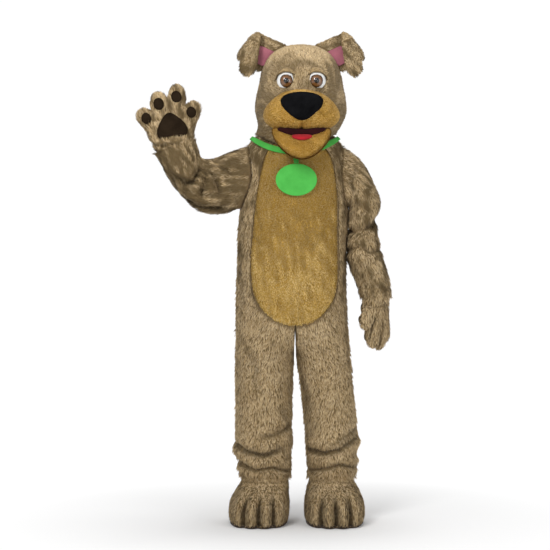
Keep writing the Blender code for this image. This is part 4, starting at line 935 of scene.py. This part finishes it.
class CostumeColours(bpy.types.PropertyGroup):
    """Colours of the plush, felt and eyes."""
    # Root colours are painted shade deep in the pile; coat_dark, and belly_root and muzzle_root on their
    # own piles, are also the colour of the painted shade by height
    coat_root: colour_property("Coat Root", "Brown coat at the cloth", (0.150, 0.098, 0.046))
    coat_body: colour_property("Coat Body", "Brown coat", (0.460, 0.325, 0.162))
    coat_light: colour_property("Coat Light", "Lighter hairs of the coat", (0.680, 0.520, 0.310))
    coat_dark: colour_property("Coat Dark", "Darker hairs of the coat", (0.085, 0.058, 0.024))
    belly_root: colour_property("Belly Root", "Belly plush at the cloth", (0.190, 0.098, 0.016))
    belly_body: colour_property("Belly Body", "Tan belly plush", (0.590, 0.365, 0.084))
    belly_light: colour_property("Belly Light", "Lighter hairs of the belly", (0.790, 0.570, 0.240))
    muzzle_root: colour_property("Muzzle Root", "Muzzle plush at the cloth", (0.200, 0.096, 0.012))
    muzzle_body: colour_property("Muzzle Body", "Tan muzzle plush", (0.560, 0.310, 0.055))
    muzzle_light: colour_property("Muzzle Light", "Lighter hairs of the muzzle", (0.760, 0.490, 0.150))
    green: colour_property("Green", "Collar and tag", (0.080, 0.440, 0.076))
    green_shade: colour_property("Green Shade", "Collar and tag in the fibres", (0.060, 0.350, 0.056))
    pink: colour_property("Pink", "Ear lining", (0.440, 0.150, 0.190))
    pad: colour_property("Pad", "Paw pads", (0.026, 0.017, 0.010))
    nose: colour_property("Nose", "Nose felt", (0.009, 0.009, 0.010))
    tongue: colour_property("Tongue", "Tongue felt", (0.480, 0.018, 0.028))
    mouth: colour_property("Mouth", "Inside of the mouth", (0.026, 0.004, 0.005))
    sole: colour_property("Sole", "Sole rubber", (0.060, 0.045, 0.035))
    iris: colour_property("Iris", "Painted iris", (0.095, 0.038, 0.012))
    iris_glow: colour_property("Iris Glow", "Lighter spokes of the iris", (0.240, 0.105, 0.032))


class CostumeStage(bpy.types.PropertyGroup):
    """Where the camera stands and how bright the studio is."""
    distance: bpy.props.FloatProperty(name="Distance", description="Camera to costume", default=6.0,
                                      min=2.0, max=20.0, unit="LENGTH")
    height: bpy.props.FloatProperty(name="Height", description="Camera above the soles", default=0.984,
                                    min=0.1, max=3.0, unit="LENGTH")
    aside: bpy.props.FloatProperty(name="Aside", description="Camera to the side of the middle",
                                   default=-0.080, min=-1.0, max=1.0, unit="LENGTH")
    wide: bpy.props.FloatProperty(name="Wide", description="Width of the view at the costume",
                                  default=2.20, min=0.5, max=6.0, unit="LENGTH")
    light: bpy.props.FloatProperty(name="Light", description="Strength of all lamps", default=1.0,
                                   min=0.1, max=5.0, subtype="FACTOR")


def dress_all(names, table):
    for name in names:
        cloth, pile = dress(name, table[name])
        if name in SHEET_ROWS:
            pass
        elif name in FOAM_ROWS:
            pile.parent = cloth


def trim(name):
    """One felt, foam, plastic or rubber piece in place of the plain node of the same name."""
    slot, rounds, firm, fill = TRIM_ROWS[name]
    mesh = softened("trim_" + name, name, rounds, firm)
    if name in ON_HEAD:
        write_points(mesh, seated(read_points(mesh)[0]))
    piece = link_piece("trim_" + name, mesh, slot)
    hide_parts(name)
    return piece


class COSTUME_OT_finishes(bpy.types.Operator):
    """Make the plush, felt and eye materials"""
    bl_idname = "costume.finishes"
    bl_label = "Finishes"

    def execute(self, context):
        colours = context.scene.costume_colours
        plush_colour_group()
        felt_group()
        for name, (*hairs, dark_share, patch_scale) in PLUSH_ROWS.items():
            plush_material(name, [getattr(colours, hair) for hair in hairs], dark_share, patch_scale)
        # the backing under the brown pile is painted dark as shade between the strands
        for name in ("coat_cloth", "head_cloth", "ear_cloth", "lid_cloth"):
            felt_material(name, shaded(colours.coat_body, BACKING_SHADE), colours.coat_root)
        felt_material("belly_cloth", colours.belly_body, colours.belly_root)
        felt_material("muzzle_cloth", colours.muzzle_body, colours.muzzle_root)
        felt_material("green_felt", colours.green, colours.green_shade)
        felt_material("pink_plush", colours.pink, shaded(colours.pink, 0.7), 420.0)
        felt_material("pad_felt", colours.pad, shaded(colours.pad, 0.5), **DARK_FELT)
        felt_material("nose_felt", colours.nose, shaded(colours.nose, 0.4), 520.0, 30.0, 0.0010,
                      **DARK_FELT)
        felt_material("tongue_felt", colours.tongue, shaded(colours.tongue, 0.6))
        felt_material("mouth_felt", colours.mouth, shaded(colours.mouth, 0.5))
        felt_material("sole_rubber", colours.sole, shaded(colours.sole, 0.7), 260.0, 18.0)
        gloss_material("eye_white", (0.84, 0.84, 0.82), (0.76, 0.77, 0.77), 0.14)
        gloss_material("pupil_black", (0.004, 0.004, 0.004), (0.008, 0.008, 0.009), 0.08)
        iris_material("iris_brown", colours.iris, shaded(colours.iris, 0.22), colours.iris_glow)
        return {"FINISHED"}


class COSTUME_OT_bodysuit(bpy.types.Operator):
    """Sew the fronts, backs and belly panel of the bodysuit"""
    bl_idname = "costume.bodysuit"
    bl_label = "Bodysuit"

    def execute(self, context):
        dress_all(("front_right", "front_left", "back_right", "back_left", "belly_panel"), CLOTH)
        return {"FINISHED"}


class COSTUME_OT_sleeves(bpy.types.Operator):
    """Sew both sleeves"""
    bl_idname = "costume.sleeves"
    bl_label = "Sleeves"

    def execute(self, context):
        dress_all(("sleeve_right", "sleeve_left"), CLOTH)
        return {"FINISHED"}


class COSTUME_OT_gloves(bpy.types.Operator):
    """Sew the paw gloves and their pads"""
    bl_idname = "costume.gloves"
    bl_label = "Gloves"

    def execute(self, context):
        dress_all(("glove_right", "glove_left"), CLOTH)
        for side in SIDES:
            trim(f"palm_pad_{side}")
            for digit in DIGITS:
                trim(f"digit_pad_{side}_{digit}")
        return {"FINISHED"}


class COSTUME_OT_feet(bpy.types.Operator):
    """Sew the feet on their soles"""
    bl_idname = "costume.feet"
    bl_label = "Feet"

    def execute(self, context):
        dress_all(("foot_right", "foot_left"), CLOTH)
        for side in SIDES:
            trim(f"sole_{side}")
        return {"FINISHED"}


class COSTUME_OT_head(bpy.types.Operator):
    """Cover the head shell, muzzle, jaw and ears"""
    bl_idname = "costume.head"
    bl_label = "Head"

    def execute(self, context):
        dress_all(FOAM, FOAM)
        for side in SIDES:
            trim(f"ear_lining_{side}")
        return {"FINISHED"}


class COSTUME_OT_face(bpy.types.Operator):
    """Set the nose, mouth, tongue and eyes"""
    bl_idname = "costume.face"
    bl_label = "Face"

    def execute(self, context):
        for name in ("nose", "mouth_lining", "tongue"):
            trim(name)
        for side in SIDES:
            for name in ("eye", "iris", "pupil"):
                piece = trim(f"{name}_{side}")
                if name == "iris":
                    mark_ring(piece.data, side)
        return {"FINISHED"}


def mark_ring(mesh, side):
    """Writes how far each point of an iris lies from its middle, and in which direction."""
    low, high = (np.array(corner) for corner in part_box(f"iris_{side}"))
    points, _ = read_points(mesh)
    flat = ((points - (low + high) / 2) / ((high - low) / 2))[:, [0, 2]]
    out = np.linalg.norm(flat, axis=1)
    way = flat / np.maximum(out, 1e-6)[:, None]
    values = np.column_stack([out, 0.5 + 0.5 * way, np.ones(len(out))])
    ring = mesh.attributes.new("ring", "FLOAT_COLOR", "POINT")
    ring.data.foreach_set("color", values.astype(np.float32).ravel())


class COSTUME_OT_collar(bpy.types.Operator):
    """Fit the collar and its bare tag"""
    bl_idname = "costume.collar"
    bl_label = "Collar"

    def execute(self, context):
        for name in ("collar", "tag_tab", "tag"):
            trim(name)
        return {"FINISHED"}


def lamp(name, place, aim, size, power):
    """A soft area lamp turned to what it lights."""
    data = bpy.data.lights.new(name, "AREA")
    data.shape = "DISK"
    data.size = size
    data.energy = power
    made = bpy.data.objects.new(name, data)
    bpy.context.scene.collection.objects.link(made)
    made.location = place
    made.rotation_euler = (Vector(aim) - Vector(place)).to_track_quat("-Z", "Y").to_euler()


def floor_material():
    """White paper that glows white away from the costume, so that no edge shows behind it."""
    tree, shader = shader_of("floor_paper", {"Roughness": 0.9, "Specular IOR Level": 0.1})
    place = add_node(tree, "ShaderNodeTexCoord")
    ring = add_node(tree, "ShaderNodeVectorMath", {0: place.outputs["Object"], 1: (1.0, 1.0, 0.0)},
                    operation="MULTIPLY")
    out = add_node(tree, "ShaderNodeVectorMath", {0: ring.outputs[0]}, operation="LENGTH")
    far = ranged(tree, out.outputs["Value"], FLOOR_NEAR, FLOOR_FAR)
    paper = blend_colours(tree, far, (FLOOR_WHITE, FLOOR_WHITE, FLOOR_WHITE, 1), (0, 0, 0, 1))
    glow = blend_colours(tree, far, (0, 0, 0, 1), (1, 1, 1, 1))
    tree.links.new(paper, shader.inputs["Base Color"])
    tree.links.new(glow, shader.inputs["Emission Color"])
    shader.inputs["Emission Strength"].default_value = BACKDROP_LIGHT


def add_floor(height):
    """A wide sheet of white paper under the soles."""
    bm = bmesh.new()
    corners = [bm.verts.new((x, FLOOR_FRONT, height)) for x in (-FLOOR_HALF, FLOOR_HALF)]
    edge = bm.edges.new(corners)
    back = bmesh.ops.extrude_edge_only(bm, edges=[edge])["geom"]
    bmesh.ops.translate(bm, vec=(0, FLOOR_BACK - FLOOR_FRONT, 0),
                        verts=[v for v in back if isinstance(v, bmesh.types.BMVert)])
    bmesh.ops.recalc_face_normals(bm, faces=bm.faces)
    if bm.faces[:][0].normal.z < 0:
        bmesh.ops.reverse_faces(bm, faces=bm.faces)
    mesh = bpy.data.meshes.new("floor")
    bm.to_mesh(mesh)
    bm.free()
    floor = bpy.data.objects.new("floor", mesh)
    bpy.context.scene.collection.objects.link(floor)
    floor_material()
    mesh.materials.append(bpy.data.materials[FINISH + "floor_paper"])


def add_world():
    """A white backdrop for the camera that lights the costume less than it shows."""
    world = bpy.data.worlds.new("studio")
    world.use_nodes = True
    tree = world.node_tree
    path = tree.nodes.new("ShaderNodeLightPath")
    strength = ranged(tree, path.outputs["Is Camera Ray"], 0.0, 1.0, WORLD_LIGHT, BACKDROP_LIGHT)
    tree.nodes["Background"].inputs["Color"].default_value = (1, 1, 1, 1)
    tree.links.new(strength, tree.nodes["Background"].inputs["Strength"])
    bpy.context.scene.world = world


def add_camera(stage, floor_height):
    """A level camera in front of the costume."""
    data = bpy.data.cameras.new("camera")
    data.sensor_width = SENSOR
    data.lens = SENSOR * stage.distance / stage.wide
    camera = bpy.data.objects.new("camera", data)
    bpy.context.scene.collection.objects.link(camera)
    camera.location = (stage.aside, -stage.distance, floor_height + stage.height)
    camera.rotation_euler = (math.radians(90), 0, 0)
    bpy.context.scene.camera = camera


class COSTUME_OT_stage(bpy.types.Operator):
    """Set up the pale floor, the soft lamps and the camera"""
    bl_idname = "costume.stage"
    bl_label = "Stage"

    def execute(self, context):
        stage = context.scene.costume_stage
        floor_height = CAD_BOX[0][2]
        add_floor(floor_height)
        for name, place, aim, size, power in LAMP_ROWS:
            lamp(name, place, aim, size, power * stage.light)
        add_world()
        context.scene.view_settings.view_transform = "Standard"
        add_camera(stage, floor_height)
        return {"FINISHED"}


OPERATORS = (COSTUME_OT_finishes, COSTUME_OT_bodysuit, COSTUME_OT_sleeves, COSTUME_OT_gloves,
             COSTUME_OT_feet, COSTUME_OT_head, COSTUME_OT_face, COSTUME_OT_collar, COSTUME_OT_stage)
GROUPS = (CostumePile, CostumeColours, CostumeStage)


class COSTUME_PT_panel(bpy.types.Panel):
    """Lists the steps that dress the costume"""
    bl_label = "Costume"
    bl_idname = "COSTUME_PT_panel"
    bl_space_type = "VIEW_3D"
    bl_region_type = "UI"
    bl_category = "Costume"

    def draw(self, context):
        for operator in OPERATORS:
            self.layout.operator(operator.bl_idname)
        for settings in (context.scene.costume_pile, context.scene.costume_colours,
                         context.scene.costume_stage):
            for name in settings.bl_rna.properties.keys():
                if name not in ("rna_type", "name"):
                    self.layout.prop(settings, name)


def register():
    for item in (*GROUPS, *OPERATORS, COSTUME_PT_panel):
        bpy.utils.register_class(item)
    bpy.types.Scene.costume_pile = bpy.props.PointerProperty(type=CostumePile)
    bpy.types.Scene.costume_colours = bpy.props.PointerProperty(type=CostumeColours)
    bpy.types.Scene.costume_stage = bpy.props.PointerProperty(type=CostumeStage)


def unregister():
    del bpy.types.Scene.costume_stage
    del bpy.types.Scene.costume_colours
    del bpy.types.Scene.costume_pile
    for item in reversed((*GROUPS, *OPERATORS, COSTUME_PT_panel)):
        bpy.utils.unregister_class(item)


def main():
    """Dresses the whole costume."""
    register()
    for step in ("finishes", "bodysuit", "sleeves", "gloves", "feet", "head", "face", "collar", "stage"):
        getattr(bpy.ops.costume, step)()


if __name__ == "__main__":
    main()
